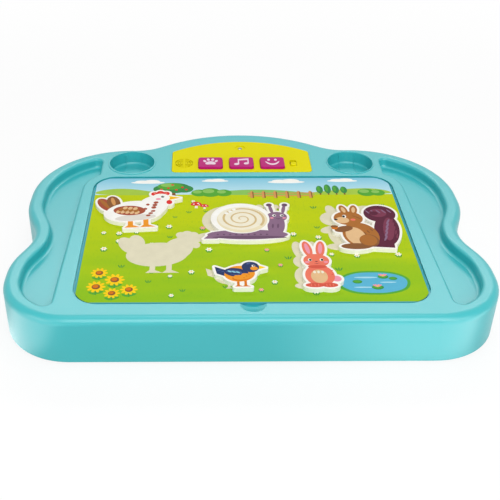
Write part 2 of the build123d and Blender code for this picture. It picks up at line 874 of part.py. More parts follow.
def door_plan(grow=0):
    """The battery door's plan: over the bay, with a tab for its screw on the right."""
    length = 2 * (bay_half_length + door_lap) + door_tab
    width = 2 * (bay_half_width + door_lap)
    return Pos(door_tab / 2, bay_y) * RectangleRounded(
        length + 2 * grow, width + 2 * grow, door_corner_radius + grow
    )


def door_post_x():
    """The X place of the battery door's screw."""
    return bay_half_length + door_lap + door_tab - door_post_inset


def make_base_cover():
    """The underside plate, with the battery bay, the door's ledge and all the screw holes."""
    cover = slab(desk_outline(shell_wall + base_gap), foot_stand, base_top)
    cover += slab(door_plan(door_land), base_top, base_top + ledge_ring_thickness)
    outer_length = 2 * (bay_half_length + bay_wall)
    outer_width = 2 * (bay_half_width + bay_wall)
    cover += block(outer_length, outer_width, base_top, bay_ceiling + bay_wall, 0, bay_y)
    cover += rod(door_post_radius, base_top, base_top + door_post_height, door_post_x(), bay_y)
    cover -= block(2 * bay_half_length, 2 * bay_half_width, base_top - cut_overrun, bay_ceiling, 0, bay_y)
    cover -= slab(door_plan(door_gap), foot_stand - cut_overrun, base_top)
    pilot = case_screw_radius + screw_gap
    cover -= rod(pilot, base_top - cut_overrun, base_top + door_screw_depth, door_post_x(), bay_y)
    below = foot_stand - cut_overrun
    for x, y in case_boss_places():
        cover -= rod(case_screw_radius + case_hole_gap, below, base_top + cut_overrun, x, y)
        cover -= rod(case_head_radius + case_head_gap, below, foot_stand + head_recess, x, y)
    for x, y in foot_places():
        cover -= rod(foot_radius + foot_gap, below, foot_stand + foot_seat, x, y)
    hole = Plane.YZ * Circle(lead_radius + lead_hole_gap)
    for side in (-1, 1):
        start = Pos(side * bay_half_length, lead_start_y(side), cell_z)
        cover -= start * extrude(hole, side * (bay_wall + cut_overrun))
    return cover


def make_battery_door():
    """The battery door, flush with the underside, with a recess for its screw's head."""
    door = slab(door_plan(), foot_stand, base_top - screw_gap)
    x = door_post_x()
    below = foot_stand - cut_overrun
    door -= rod(case_screw_radius + screw_gap, below, base_top + cut_overrun, x, bay_y)
    return door - rod(case_head_radius + case_head_gap, below, foot_stand + head_recess, x, bay_y)


def case_screw(depth):
    """A case screw that reaches depth into its boss."""
    length = base_thickness - head_recess + depth - cell_gap
    return Pos(0, 0, foot_stand + head_recess) * screw(
        length, case_screw_radius, case_head_radius, case_head_height
    )


def make_case_screws():
    """The screws that hold the base cover to the shell."""
    one = case_screw(boss_screw_depth)
    return group([Pos(x, y) * one for x, y in case_boss_places()])


def make_door_screw():
    """The battery door's own screw."""
    return Pos(door_post_x(), bay_y) * case_screw(door_screw_depth)


def cell_places():
    """Each cell's Y place and the side that its nub points to."""
    first = -(cell_count - 1) / 2
    return [(bay_y + (first + i) * cell_pitch, 1 if i % 2 == 0 else -1) for i in range(cell_count)]


def make_cells():
    """The cells, side by side, with their nubs to alternate sides."""
    cells = []
    barrel_length = cell_length - cell_nub_length
    for y, side in cell_places():
        barrel = extrude(Plane.YZ * Circle(cell_radius), -side * barrel_length)
        nub = extrude(Plane.YZ * Circle(cell_nub_radius), side * cell_nub_length)
        shoulder = side * (bay_half_length - contact_plate - cell_nub_length)
        cells.append(Pos(shoulder, y, cell_z) * (barrel + nub))
    return group(cells)


def contact(side, y_low, y_high):
    """A contact plate on one end wall of the bay, between two places along Y."""
    width = y_high - y_low + contact_width
    x = side * (bay_half_length - contact_plate / 2)
    return block(contact_plate, width, cell_z - cell_radius, cell_z + cell_radius, x, (y_low + y_high) / 2)


def leaf(side, y):
    """A bent leaf spring that stands on a contact plate."""
    points = [
        (0, -leaf_half_height),
        (leaf_reach, 0),
        (0, leaf_half_height),
        (0, leaf_half_height - leaf_thickness),
        (leaf_reach - leaf_thickness, 0),
        (0, leaf_thickness - leaf_half_height),
    ]
    profile = make_face(Polyline(*[(-side * x, 0, z) for x, z in points], close=True))
    foot = Pos(side * (bay_half_length - contact_plate), y, cell_z)
    return foot * extrude(profile, leaf_width / 2, both=True)


def make_contacts():
    """The plates and leaf springs that join the cells one after another."""
    places = cell_places()
    first_y, first_side = places[0]
    last_y, last_side = places[-1]
    contacts = [contact(-first_side, first_y, first_y) + leaf(-first_side, first_y)]
    for (y, side), (next_y, next_side) in zip(places, places[1:]):
        contacts.append(contact(side, y, next_y) + leaf(side, next_y))
    contacts.append(contact(last_side, last_y, last_y))
    return group(contacts)


def lead_start_y(side):
    """Where a battery lead leaves the bay: the first cell's end or the last cell's, by its side."""
    places = cell_places()
    last_y, last_side = places[-1]
    return last_y if side == last_side else places[0][0]


def make_battery_lead(side):
    """A lead from an end contact through the bay's wall and up to the board."""
    y = lead_start_y(side)
    start_x = side * bay_half_length
    run_x = start_x + side * (bay_wall + lead_run)
    end_y = panel_y + board_front + lead_board_inset
    points = [(start_x, y, cell_z), (run_x, y, cell_z), (run_x, end_y, cell_z), (run_x, end_y, board_under)]
    return lead(points, lead_radius, lead_bend)


def piece_outline(size, oval_shares, corner_shares):
    """A loose piece's plan about its middle: its ovals and corners, each grown by the white border."""
    width, depth = size
    plan = Sketch()
    for x, y, half_width, half_depth, turn in oval_shares:
        oval = Ellipse(half_width * width + piece_border, half_depth * depth + piece_border)
        plan += Pos((x - middle_share) * width, (y - middle_share) * depth) * Rot(0, 0, turn) * oval
    for corners in corner_shares:
        points = [((x - middle_share) * width, (y - middle_share) * depth) for x, y in corners]
        plan += offset(make_face(Polyline(*points, close=True)), amount=piece_border)
    return plan


def make_piece(size, place_shares, oval_shares, corner_shares):
    """A loose piece, lying on the card at its place."""
    x_share, y_share, turn = place_shares
    place = Pos(x_share * card_width, card_y + y_share * card_depth, card_top)
    plan = piece_outline(size, oval_shares, corner_shares)
    return place * Rot(0, 0, turn) * extrude(plan, piece_thickness)


def make_parts():
    """Every node by name."""
    left, middle, right = button_places()
    return {
        "top_shell": make_shell(),
        "base_cover": make_base_cover(),
        "panel_fascia": make_fascia(),
        "paw_button": make_button(left),
        "music_button": make_button(middle),
        "smile_button": make_button(right),
        "paw_dome": make_dome(left),
        "music_dome": make_dome(middle),
        "smile_dome": make_dome(right),
        "control_board": make_board(),
        "board_screws": make_board_screws(),
        "sound_chip": make_sound_chip(),
        "switch_knob": make_switch_knob(),
        "switch_lever": make_switch_lever(),
        "switch_body": make_switch_body(),
        "lamp_chip": make_lamp_chip(),
        "lamp_lens": make_lamp_lens(),
        "speaker_frame": make_speaker_frame(),
        "speaker_cone": make_speaker_cone(),
        "speaker_magnet": make_speaker_magnet(),
        "speaker_leads": make_speaker_leads(),
        "battery_door": make_battery_door(),
        "door_screw": make_door_screw(),
        "battery_cells": make_cells(),
        "battery_contacts": make_contacts(),
        "battery_lead_red": make_battery_lead(1),
        "battery_lead_black": make_battery_lead(-1),
        "case_screws": make_case_screws(),
        "rubber_feet": make_feet(),
        "picture_card": make_card(),
        "hen_piece": make_piece(hen_size, hen_place_shares, hen_oval_shares, hen_corner_shares),
        "snail_piece": make_piece(snail_size, snail_place_shares, snail_oval_shares, snail_corner_shares),
        "squirrel_piece": make_piece(
            squirrel_size, squirrel_place_shares, squirrel_oval_shares, squirrel_corner_shares
        ),
        "bird_piece": make_piece(bird_size, bird_place_shares, bird_oval_shares, bird_corner_shares),
        "rabbit_piece": make_piece(
            rabbit_size, rabbit_place_shares, rabbit_oval_shares, rabbit_corner_shares
        ),
    }


os.makedirs("parts", exist_ok=True)
for name, shape in make_parts().items():
    export_step(shape, f"parts/{name}.step")
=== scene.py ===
"""Dresses a child's learning desk: moulded shell, sound panel, printed picture card and loose cut-out pieces.

Every length in the tables is in millimetres, in the part's own frame, and becomes metres where a mesh is
made. Only the studio's lengths are in metres.
"""
from __future__ import annotations

import logging
import math
import random
from dataclasses import dataclass, field, replace
from enum import Enum

import bmesh
import bpy
from bmesh.types import BMesh, BMVert
from bpy.types import ID, Material, Mesh, Node, NodeSocket, NodeTree, Object
from mathutils import Matrix, Vector


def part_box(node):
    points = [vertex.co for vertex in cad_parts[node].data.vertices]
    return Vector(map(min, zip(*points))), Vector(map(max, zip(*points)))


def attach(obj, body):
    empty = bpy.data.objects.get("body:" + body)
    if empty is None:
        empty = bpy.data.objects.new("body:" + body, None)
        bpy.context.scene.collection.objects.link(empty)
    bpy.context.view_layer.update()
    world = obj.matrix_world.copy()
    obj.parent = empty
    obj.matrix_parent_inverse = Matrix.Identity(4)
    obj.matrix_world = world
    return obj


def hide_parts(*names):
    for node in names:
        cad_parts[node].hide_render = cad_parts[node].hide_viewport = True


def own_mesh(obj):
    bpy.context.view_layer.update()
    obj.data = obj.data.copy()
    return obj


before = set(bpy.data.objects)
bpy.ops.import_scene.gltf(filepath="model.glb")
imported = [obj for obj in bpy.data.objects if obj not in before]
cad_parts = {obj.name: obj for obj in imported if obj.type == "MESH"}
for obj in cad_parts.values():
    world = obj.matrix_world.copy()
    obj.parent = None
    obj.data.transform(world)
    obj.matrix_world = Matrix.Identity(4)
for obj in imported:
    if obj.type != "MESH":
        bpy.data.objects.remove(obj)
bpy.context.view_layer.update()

LOG = logging.getLogger("learning_desk")
MM = 0.001
MERGE_MM = 0.001  # Points that are nearer than this become one.
BUTTONS = ("paw", "music", "smile")

Point = tuple[float, float]
Place = tuple[float, float, float]


def linear(hex_code: str) -> tuple[float, float, float, float]:
    """Turns an sRGB hex colour into linear RGBA.

    Args:
        hex_code: A colour such as "#4FB4BC".

    Returns:
        Linear red, green, blue and an alpha of one.
    """
    shares = [int(hex_code[i:i + 2], 16) / 255 for i in (1, 3, 5)]
    red, green, blue = [s / 12.92 if s <= 0.04045 else ((s + 0.055) / 1.055) ** 2.4 for s in shares]
    return red, green, blue, 1.0


def add_node(tree: NodeTree, kind: str, inputs: dict[str | int, object] | None = None,
             **settings: object) -> Node:
    """Adds one node to a material.

    Args:
        tree: The material's node tree.
        kind: Blender's name for the node's type.
        inputs: What each input gets: a fixed value, or the node or socket that feeds it.
        settings: The node's own settings.

    Returns:
        The new node.
    """
    node = tree.nodes.new(kind)
    for name, setting in settings.items():
        setattr(node, name, setting)
    for name, given in (inputs or {}).items():
        if isinstance(given, Node):
            given = next(socket for socket in given.outputs if socket.enabled)
        if isinstance(given, NodeSocket):
            tree.links.new(given, node.inputs[name])
        else:
            node.inputs[name].default_value = given
    return node


def shown(name: str, data: ID) -> Object:
    """Puts an object into the scene.

    Args:
        name: Its name.
        data: Its mesh, lamp or camera.

    Returns:
        The object.
    """
    item = bpy.data.objects.new(name, data)
    bpy.context.scene.collection.objects.link(item)
    return item


def meshed(name: str, solid: BMesh) -> Mesh:
    """Makes a mesh of a bmesh, and frees that.

    Args:
        name: The mesh's name.
        solid: The bmesh.

    Returns:
        The mesh.
    """
    mesh = bpy.data.meshes.new(name)
    solid.to_mesh(mesh)
    solid.free()
    return mesh


def placed(name: str, solid: BMesh, materials: list[Material], body: str) -> Object:
    """Makes a piece that rides on a body.

    Args:
        name: The piece's name.
        solid: Its shape in metres.
        materials: Its materials, in the order of their slots.
        body: The body that it rides on.

    Returns:
        The piece.
    """
    mesh = meshed(name, solid)
    for material in materials:
        mesh.materials.append(material)
    piece = shown(name, mesh)
    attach(piece, body)
    LOG.info("%s: %d faces in %d materials, on %s", name, len(mesh.polygons), len(materials), body)
    return piece


def upper_face(node: str) -> tuple[Point, float]:
    """Finds a node's upper face.

    Args:
        node: The node.

    Returns:
        The face's middle and its height, in millimetres.
    """
    low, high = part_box(node)
    return ((low.x + high.x) / 2 / MM, (low.y + high.y) / 2 / MM), high.z / MM


@dataclass(frozen=True)
class Finish:
    """A surface: its colour, how that varies, its gloss and its grain.

    Attributes:
        name: The real material and how it was made.
        colour: Main colour.
        tint: The colour that it drifts to.
        drift_mm: Size of the drifting patches.
        roughness: Lowest and highest roughness.
        grain_mm: Spacing of the surface's grain.
        grain_height_mm: How far the grain stands up.
        grain_share: How much of that height shows.
        grain_levels: The levels of the grain at which the roughness is lowest and highest.
        sockets: Fixed values of the shader's own inputs.
    """

    name: str
    colour: str
    tint: str
    drift_mm: float = 60.0
    roughness: Point = (0.32, 0.42)
    grain_mm: float = 1.6
    grain_height_mm: float = 0.012
    grain_share: float = 0.6
    grain_levels: Point = (0.3, 0.7)
    sockets: tuple[tuple[str, object], ...] = (("IOR", 1.53),)

    def paint(self, tree: NodeTree, place: NodeSocket) -> Node:
        """Lays the colour, drifting softly between the main colour and its tint.

        Args:
            tree: The material's node tree.
            place: The point on the surface.

        Returns:
            The colour.
        """
        drift = add_node(tree, "ShaderNodeTexNoise", {
            "Vector": place, "Scale": 1 / (self.drift_mm * MM), "Detail": 3.0, "Roughness": 0.55})
        return add_node(tree, "ShaderNodeMix", {0: drift, 6: linear(self.colour), 7: linear(self.tint)},
                        data_type="RGBA")

    def build(self) -> Material:
        """Makes the material.

        Returns:
            A node material with colour, gloss and grain.
        """
        material = bpy.data.materials.new(self.name)
        material.use_nodes = True
        tree = material.node_tree
        tree.nodes.clear()
        place = add_node(tree, "ShaderNodeTexCoord").outputs["Object"]
        grain = add_node(tree, "ShaderNodeTexNoise", {
            "Vector": place, "Scale": 1 / (self.grain_mm * MM), "Detail": 2.0, "Roughness": 0.6})
        bump = add_node(tree, "ShaderNodeBump", {
            "Height": grain, "Strength": self.grain_share, "Distance": self.grain_height_mm * MM})
        (low, high), (smooth, rough) = self.grain_levels, self.roughness
        gloss = add_node(tree, "ShaderNodeMapRange", {
            "Value": grain, "From Min": low, "From Max": high, "To Min": smooth, "To Max": rough})
        shader = add_node(tree, "ShaderNodeBsdfPrincipled", {
            "Base Color": self.paint(tree, place), "Roughness": gloss, "Normal": bump, **dict(self.sockets)})
        add_node(tree, "ShaderNodeOutputMaterial", {"Surface": shader})
        material.diffuse_color = linear(self.colour)
        return material


@dataclass(frozen=True, kw_only=True)
class MeadowPrint(Finish):
    """The card's printed ground: a meadow that deepens to the front, mown bands and a strip of sky.

    Attributes:
        front_mm: The card's front edge.
        horizon_mm: Where the meadow ends and the sky begins.
        back_mm: The card's back edge.
        half_width_mm: Half the card's width.
        top_mm: Height of the card's face.
        near_green: The meadow's colour at the front.
        far_green: Its colour at the horizon.
        green_levels: The sums of depth and bands at which each of these is full.
        band_mm: Width and depth of the mown bands' patches.
        blade_mm: Width and length of a blade of grass, drawn as coarse as it needs to show.
        blade_levels: The levels of the noise at which a blade begins and is full.
        blade_share: How strongly a full blade shows.
        sky_low: The sky's colour at the horizon.
        sky_high: Its colour at the back edge.
        border: The narrow border's colour: a printed band that is also painted shade for the gap round the
            card.
        border_mm: The border's width.
        edge_mm: How far below the face the border's colour begins; over the card's edges and back it is
            painted shade of the recess.
    """

    front_mm: float
    horizon_mm: float
    back_mm: float
    half_width_mm: float
    top_mm: float
    near_green: str = "#88BA1C"
    far_green: str = "#BCCB08"
    green_levels: Point = (0.35, 1.45)
    band_mm: Point = (142.86, 29.41)
    blade_mm: Point = (1.613, 5.263)
    blade_levels: Point = (0.56, 0.74)
    blade_share: float = 0.22
    sky_low: str = "#BFE3EC"
    sky_high: str = "#7FC3DA"
    # Dark teal border: partly print, partly painted shade of the gap round the card.
    border: str = "#3E9DAB"
    border_mm: float = 1.3
    edge_mm: float = 0.3

    def paint(self, tree: NodeTree, place: NodeSocket) -> Node:
        """Lays the meadow, its bands and the sky along the card's depth.

        Args:
            tree: The material's node tree.
            place: The point on the surface.

        Returns:
            The colour.
        """
        along = add_node(tree, "ShaderNodeSeparateXYZ", {0: place}).outputs[1]
        noises = []
        for width, length in (self.band_mm, self.blade_mm):
            spread = add_node(tree, "ShaderNodeVectorMath", {
                0: place, 1: (1 / (width * MM), 1 / (length * MM), 0.0)}, operation="MULTIPLY")
            noises.append(add_node(tree, "ShaderNodeTexNoise", {
                "Vector": spread, "Scale": 1.0, "Detail": 2.0}))
        bands, blades = noises
        depth, height = (
            add_node(tree, "ShaderNodeMapRange", {
                "Value": along, "From Min": start * MM, "From Max": end * MM})
            for start, end in ((self.front_mm, self.horizon_mm), (self.horizon_mm, self.back_mm)))
        level = add_node(tree, "ShaderNodeMath", {0: bands, 1: depth}, operation="ADD")
        ground = add_node(tree, "ShaderNodeMapRange", {
            "Value": level, "From Min": self.green_levels[0], "From Max": self.green_levels[1],
        }, interpolation_type="SMOOTHSTEP")
        green = add_node(tree, "ShaderNodeMix", {
            0: ground, 6: linear(self.near_green), 7: linear(self.far_green)}, data_type="RGBA")
        stroke = add_node(tree, "ShaderNodeMapRange", {
            "Value": blades, "From Min": self.blade_levels[0], "From Max": self.blade_levels[1],
            "To Max": self.blade_share})
        mown = add_node(tree, "ShaderNodeMix", {0: stroke, 6: green, 7: linear(self.tint)}, data_type="RGBA")
        sky = add_node(tree, "ShaderNodeMix", {
            0: height, 6: linear(self.sky_low), 7: linear(self.sky_high)}, data_type="RGBA")
        beyond = add_node(tree, "ShaderNodeMath", {0: along, 1: self.horizon_mm * MM},
                          operation="GREATER_THAN")
        whole = add_node(tree, "ShaderNodeMix", {0: beyond, 6: mown, 7: sky}, data_type="RGBA")
        return self.edged(tree, place, whole)

    def edged(self, tree: NodeTree, place: NodeSocket, picture: Node) -> Node:
        """Lays the narrow border, which also turns down over the card's edges and back: partly print, partly
        painted shade for the gap between the card and its recess.

        Args:
            tree: The material's node tree.
            place: The point on the surface.
            picture: The colour inside the border.

        Returns:
            The colour.
        """
        middle = (0.0, (self.front_mm + self.back_mm) / 2 * MM, self.top_mm * MM)
        half_depth_mm = (self.back_mm - self.front_mm) / 2
        reaches = (self.half_width_mm - self.border_mm, half_depth_mm - self.border_mm, self.edge_mm)
        inner = [length * MM for length in reaches]
        offset = add_node(tree, "ShaderNodeVectorMath", {0: place, 1: middle}, operation="SUBTRACT")
        reach = add_node(tree, "ShaderNodeVectorMath", {0: offset}, operation="ABSOLUTE")
        beyond = add_node(tree, "ShaderNodeVectorMath", {0: reach, 1: inner}, operation="SUBTRACT")
        axes = add_node(tree, "ShaderNodeSeparateXYZ", {0: beyond}).outputs
        sides = add_node(tree, "ShaderNodeMath", {0: axes[0], 1: axes[1]}, operation="MAXIMUM")
        any_side = add_node(tree, "ShaderNodeMath", {0: sides, 1: axes[2]}, operation="MAXIMUM")
        outside = add_node(tree, "ShaderNodeMath", {0: any_side, 1: 0.0}, operation="GREATER_THAN")
        # Painted shade together with print: the border's dark teal along the face's rim and over the edges
        # and back.
        return add_node(tree, "ShaderNodeMix", {0: outside, 6: picture, 7: linear(self.border)},
                        data_type="RGBA")


@dataclass(frozen=True)
class CellWrap(Finish):
    """A dry cell's printed film, with bare plated ends.

    Attributes:
        band_mm: Where the film's second colour begins, along X.
        end_mm: How far from the middle the plated ends begin.
        end_colour: The plating's colour.
    """

    band_mm: float = 8.0
    end_mm: float = 24.0
    end_colour: str = "#C9C6BE"

    def paint(self, tree: NodeTree, place: NodeSocket) -> Node:
        """Lays the film's two colours and the plated ends.

        Args:
            tree: The material's node tree.
            place: The point on the surface.

        Returns:
            The colour.
        """
        along = add_node(tree, "ShaderNodeSeparateXYZ", {0: place}).outputs[0]
        reach = add_node(tree, "ShaderNodeMath", {0: along}, operation="ABSOLUTE")
        end, band = (add_node(tree, "ShaderNodeMath", {0: length, 1: start * MM}, operation="GREATER_THAN")
                     for length, start in ((reach, self.end_mm), (along, self.band_mm)))
        film = add_node(tree, "ShaderNodeMix", {0: band, 6: linear(self.colour), 7: linear(self.tint)},
                        data_type="RGBA")
        return add_node(tree, "ShaderNodeMix", {0: end, 6: film, 7: linear(self.end_colour)},
                        data_type="RGBA")


class Ink(Enum):
    """Printing inks, by the colour that they leave on the board."""

    WHITE = "#FDFCF6"
    CREAM = "#F6EFD8"
    PALE = "#E4DEC1"
    STRAW = "#EFE3BF"
    SAND = "#D8BE8A"
    SKY = "#8FCBDE"
    POND = "#5DB6D6"
    RIPPLE = "#A9DDEC"
    LEAF = "#57A83A"
    GRASS = "#3F9440"
    LIME = "#A9CC4B"
    HILL = "#8CC560"
    FOREST = "#3C8B4A"
    YELLOW = "#FFD21C"
    ORANGE = "#F39A2B"
    AMBER = "#D9771B"
    RED = "#DF3430"
    PINK = "#F39BB0"
    SALMON = "#EF7A62"
    ROSE = "#D95C4A"
    CHESTNUT = "#AE6E33"
    TAN = "#E7BE8C"
    RUST = "#A9533A"
    BARK = "#8A5A34"
    TIMBER = "#D79A5B"
    MAROON = "#5B2439"
    PLUM = "#7C3A50"
    MAUVE = "#8B6B86"
    DUSK = "#6C5069"
    NAVY = "#2C3A63"
    SLATE = "#46578A"
    GREY = "#E6E0D6"
    BLACK = "#231F22"
    ICON = "#F4DCEB"


@dataclass(frozen=True)
class Oval:
    """A printed oval: place, half sizes, ink, layer and turn in degrees."""

    x: float
    y: float
    half_width: float
    half_depth: float
    ink: Ink
    layer: int
    turn: float = 0.0


@dataclass(frozen=True)
class Patch:
    """A printed patch from corners, each rounded by a share of its sides, with ink and layer."""

    corners: tuple[Point, ...]
    ink: Ink
    layer: int = 1
    rounding: float = 0.0


Shape = Oval | Patch


@dataclass
class Inks:
    """The ink materials, each made when it is first used.

    Attributes:
        darkest: The share of its own colour that an ink drifts down to.
        made: The inks so far.
    """

    darkest: float = 0.93
    made: dict[Ink, Material] = field(default_factory=dict)

    def get(self, ink: Ink) -> Material:
        """Gives an ink's material.

        Args:
            ink: The ink.

        Returns:
            Its material.
        """
        if ink not in self.made:
            levels = [int(ink.value[i:i + 2], 16) for i in (1, 3, 5)]
            darker = "#" + "".join(f"{int(level * self.darkest):02X}" for level in levels)
            # Offset ink on coated board: satin, with the board's grain just showing.
            self.made[ink] = Finish(
                f"offset_ink_{ink.name.lower()}", ink.value, darker, drift_mm=9.0, roughness=(0.5, 0.6),
                grain_mm=0.9, grain_height_mm=0.006, sockets=(("IOR", 1.45), ("Specular IOR Level", 0.06)),
            ).build()
        return self.made[ink]


@dataclass
class PrintSheet:
    """Printed shapes on one flat face, gathered into one thin mesh.

    Attributes:
        name: The piece's name.
        body: The body that it rides on.
        level: Height of the face that is printed.
        centre: The print's own origin on the face.
        turn: The print's turn in degrees.
        layer_height: How far each layer of ink stands up.
        shape_step: How far one shape stands over the one before it in its layer.
        shape_cycle: How many shapes step up before the steps begin again.
        sides: How many sides a large oval has. A small one has half as many.
        small: Half size of the largest small oval.
        corner_steps: How many edges round a patch's corner.
        shapes: What is printed.
    """

    name: str
    body: str
    level: float
    centre: Point
    turn: float = 0.0
    layer_height: float = 0.03
    shape_step: float = 0.002
    shape_cycle: int = 14
    sides: int = 40
    small: float = 4.0
    corner_steps: int = 6
    shapes: list[Shape] = field(default_factory=list)

    def outline(self, shape: Shape) -> BMesh:
        """Makes a shape's flat face about the print's origin.

        Args:
            shape: The oval or patch.

        Returns:
            A bmesh with the face in the plane of the print.
        """
        flat = bmesh.new()
        if isinstance(shape, Oval):
            sides = self.sides if max(shape.half_width, shape.half_depth) > self.small else self.sides // 2
            turn = Matrix.Rotation(math.radians(shape.turn), 4, "Z")
            size = Matrix.Diagonal((shape.half_width, shape.half_depth, 1, 1))
            bmesh.ops.create_circle(flat, cap_ends=True, segments=sides, radius=1,
                                    matrix=Matrix.Translation((shape.x, shape.y, 0)) @ turn @ size)
            return flat
        corners = [flat.verts.new((x, y, 0)) for x, y in shape.corners]
        flat.faces.new(corners)
        if shape.rounding > 0:
            # A corner takes up to half of each side, so a rounding of one is 50 percent.
            bmesh.ops.bevel(flat, geom=corners, offset=50 * shape.rounding, offset_type="PERCENT",
                            segments=self.corner_steps, profile=0.5, affect="VERTICES", material=-1)
            bmesh.ops.remove_doubles(flat, verts=flat.verts, dist=MERGE_MM)
        return flat

    def build(self, inks: Inks) -> Object:
        """Makes the printed piece.

        Args:
            inks: The ink materials.

        Returns:
            The piece, riding on its body.
        """
        used = list(dict.fromkeys(shape.ink for shape in self.shapes))
        whole = bmesh.new()
        for index, shape in enumerate(self.shapes):
            flat = self.outline(shape)
            height = shape.layer * self.layer_height + index % self.shape_cycle * self.shape_step
            raised = bmesh.ops.extrude_face_region(flat, geom=flat.faces[:])["geom"]
            bmesh.ops.translate(flat, verts=[item for item in raised if isinstance(item, BMVert)],
                                vec=(0, 0, height))
            bmesh.ops.recalc_face_normals(flat, faces=flat.faces)
            for face in flat.faces:
                face.material_index = used.index(shape.ink)
            mesh = meshed("shape", flat)
            whole.from_mesh(mesh)
            bpy.data.meshes.remove(mesh)
        turn = Matrix.Rotation(math.radians(self.turn), 4, "Z")
        place = Matrix.Translation((*self.centre, self.level)) @ turn
        bmesh.ops.transform(whole, matrix=Matrix.Scale(MM, 4) @ place, verts=whole.verts)
        return placed(self.name, whole, [inks.get(ink) for ink in used], self.body)


def laid(shapes: list[Shape], size: Point = (1.0, 1.0), middle: Point = (0.0, 0.0),
         place: Point = (0.0, 0.0)) -> list[Shape]:
    """Draws shapes at another size and place.

    Args:
        shapes: What is drawn.
        size: How many times wider and deeper it becomes.
        middle: The point of the drawing that comes to lie at the place.
        place: Where that point comes to lie.

    Returns:
        The same shapes at their new size and place.
    """
    made: list[Shape] = []
    for shape in shapes:
        points = shape.corners if isinstance(shape, Patch) else ((shape.x, shape.y),)
        moved = tuple(((x - middle[0]) * size[0] + place[0], (y - middle[1]) * size[1] + place[1])
                      for x, y in points)
        if isinstance(shape, Patch):
            made.append(replace(shape, corners=moved))
        else:
            made.append(replace(shape, x=moved[0][0], y=moved[0][1], half_width=shape.half_width * size[0],
                                half_depth=shape.half_depth * size[1]))
    return made


def ovals(ink: Ink, layer: int, *spots: tuple[float, ...]) -> list[Shape]:
    """Draws ovals of one ink.

    Args:
        ink: Their ink.
        layer: Their layer.
        spots: Place, half sizes and, if it has one, turn in degrees of each.

    Returns:
        The ovals.
    """
    return [Oval(*spot[:4], ink, layer, *spot[4:]) for spot in spots]


def row(start: Point, end: Point, count: int, half: Point, turn: float, ink: Ink, layer: int) -> list[Shape]:
    """Draws equal ovals in a straight row.

    Args:
        start: Middle of the first oval.
        end: Middle of the last one.
        count: How many there are.
        half: Half width and half depth of each.
        turn: Turn of each in degrees.
        ink: Their ink.
        layer: Their layer.

    Returns:
        The ovals.
    """
    made: list[Shape] = []
    for step in range(count):
        place = Vector(start).lerp(Vector(end), step / (count - 1))
        made.append(Oval(*place, *half, ink, layer, turn))
    return made


def coil(middle: Point, half: Point, turns: float, width: float, ink: Ink, layer: int) -> Patch:
    """Draws a spiral band that winds in to the middle and narrows on the way.

    Args:
        middle: Where it ends.
        half: Half width and half depth of its outermost turn.
        turns: How many times it goes round.
        width: The band's width at its outer end, as a share of the half sizes.
        ink: Its ink.
        layer: Its layer.

    Returns:
        The band.
    """
    steps_per_turn, first_angle, narrowing, outset = 28, -35, 0.55, 1.06
    steps = round(steps_per_turn * turns)
    outer: list[Point] = []
    inner: list[Point] = []
    for step in range(steps + 1):
        share = step / steps
        angle = math.radians(360 * turns * share + first_angle)
        band = width * (1 - narrowing * share) / 2
        for edge, reach in ((outer, outset - share + band), (inner, outset - share - band)):
            edge.append((middle[0] + half[0] * reach * math.cos(angle),
                         middle[1] + half[1] * reach * math.sin(angle)))
    return Patch(tuple(outer + inner[::-1]), ink, layer)


def legs(places: Point, width: float, ankle: float, ink: Ink) -> list[Shape]:
    """Draws two straight legs with long feet.

    Args:
        places: The left side of each leg.
        width: How wide a leg is.
        ankle: How high the feet reach.
        ink: Their ink.

    Returns:
        The legs.
    """
    hip, heel, toe = 0.24, 0.04, 0.08
    return [Patch(((x, hip), (x + width, hip), (x + width, ankle), (x + width + toe, 0.0), (x - heel, 0.0),
                   (x, ankle)), ink) for x in places]


@dataclass
class LoosePiece:
    """A thick cut-out piece: its place on the card and what is printed on it.

    Attributes:
        name: The piece's body.
        size: Width and depth without the white border.
        place: Offset from the card's middle and turn in degrees.
        home: Offset of its pale mark on the card.
        outline: The shapes that give its outline, in shares.
        details: The shapes printed over them, in shares.
        middle: The share of the drawing that lies at the piece's middle.
        mark_border: How far the pale mark reaches beyond the drawn outline.
        mark_layer: The layer of the card's print that the mark is in.
    """

    name: str
    size: Point
    place: Place
    home: Point
    outline: list[Shape]
    details: list[Shape]
    middle: Point = (0.5, 0.5)
    mark_border: float = 1.2
    mark_layer: int = 6

    def print_on(self, inks: Inks) -> Object:
        """Makes the picture on top of the piece.

        Args:
            inks: The ink materials.

        Returns:
            The printed piece.
        """
        x, y, turn = self.place
        (card_x, card_y), _ = upper_face("picture_card")
        _, top = upper_face(f"{self.name}_piece")
        return PrintSheet(f"{self.name}_print", self.name, top, (card_x + x, card_y + y), turn,
                          shapes=laid(self.outline + self.details, self.size, self.middle)).build(inks)

    def mark(self) -> list[Shape]:
        """Gives the piece's pale mark on the card.

        Returns:
            Shapes in millimetres about the card's middle.
        """
        made: list[Shape] = []
        for shape in laid(self.outline, self.size, self.middle, self.home):
            shape = replace(shape, ink=Ink.PALE, layer=self.mark_layer)
            if isinstance(shape, Oval):
                shape = replace(shape, half_width=shape.half_width + self.mark_border,
                                half_depth=shape.half_depth + self.mark_border)
            made.append(shape)
        return made


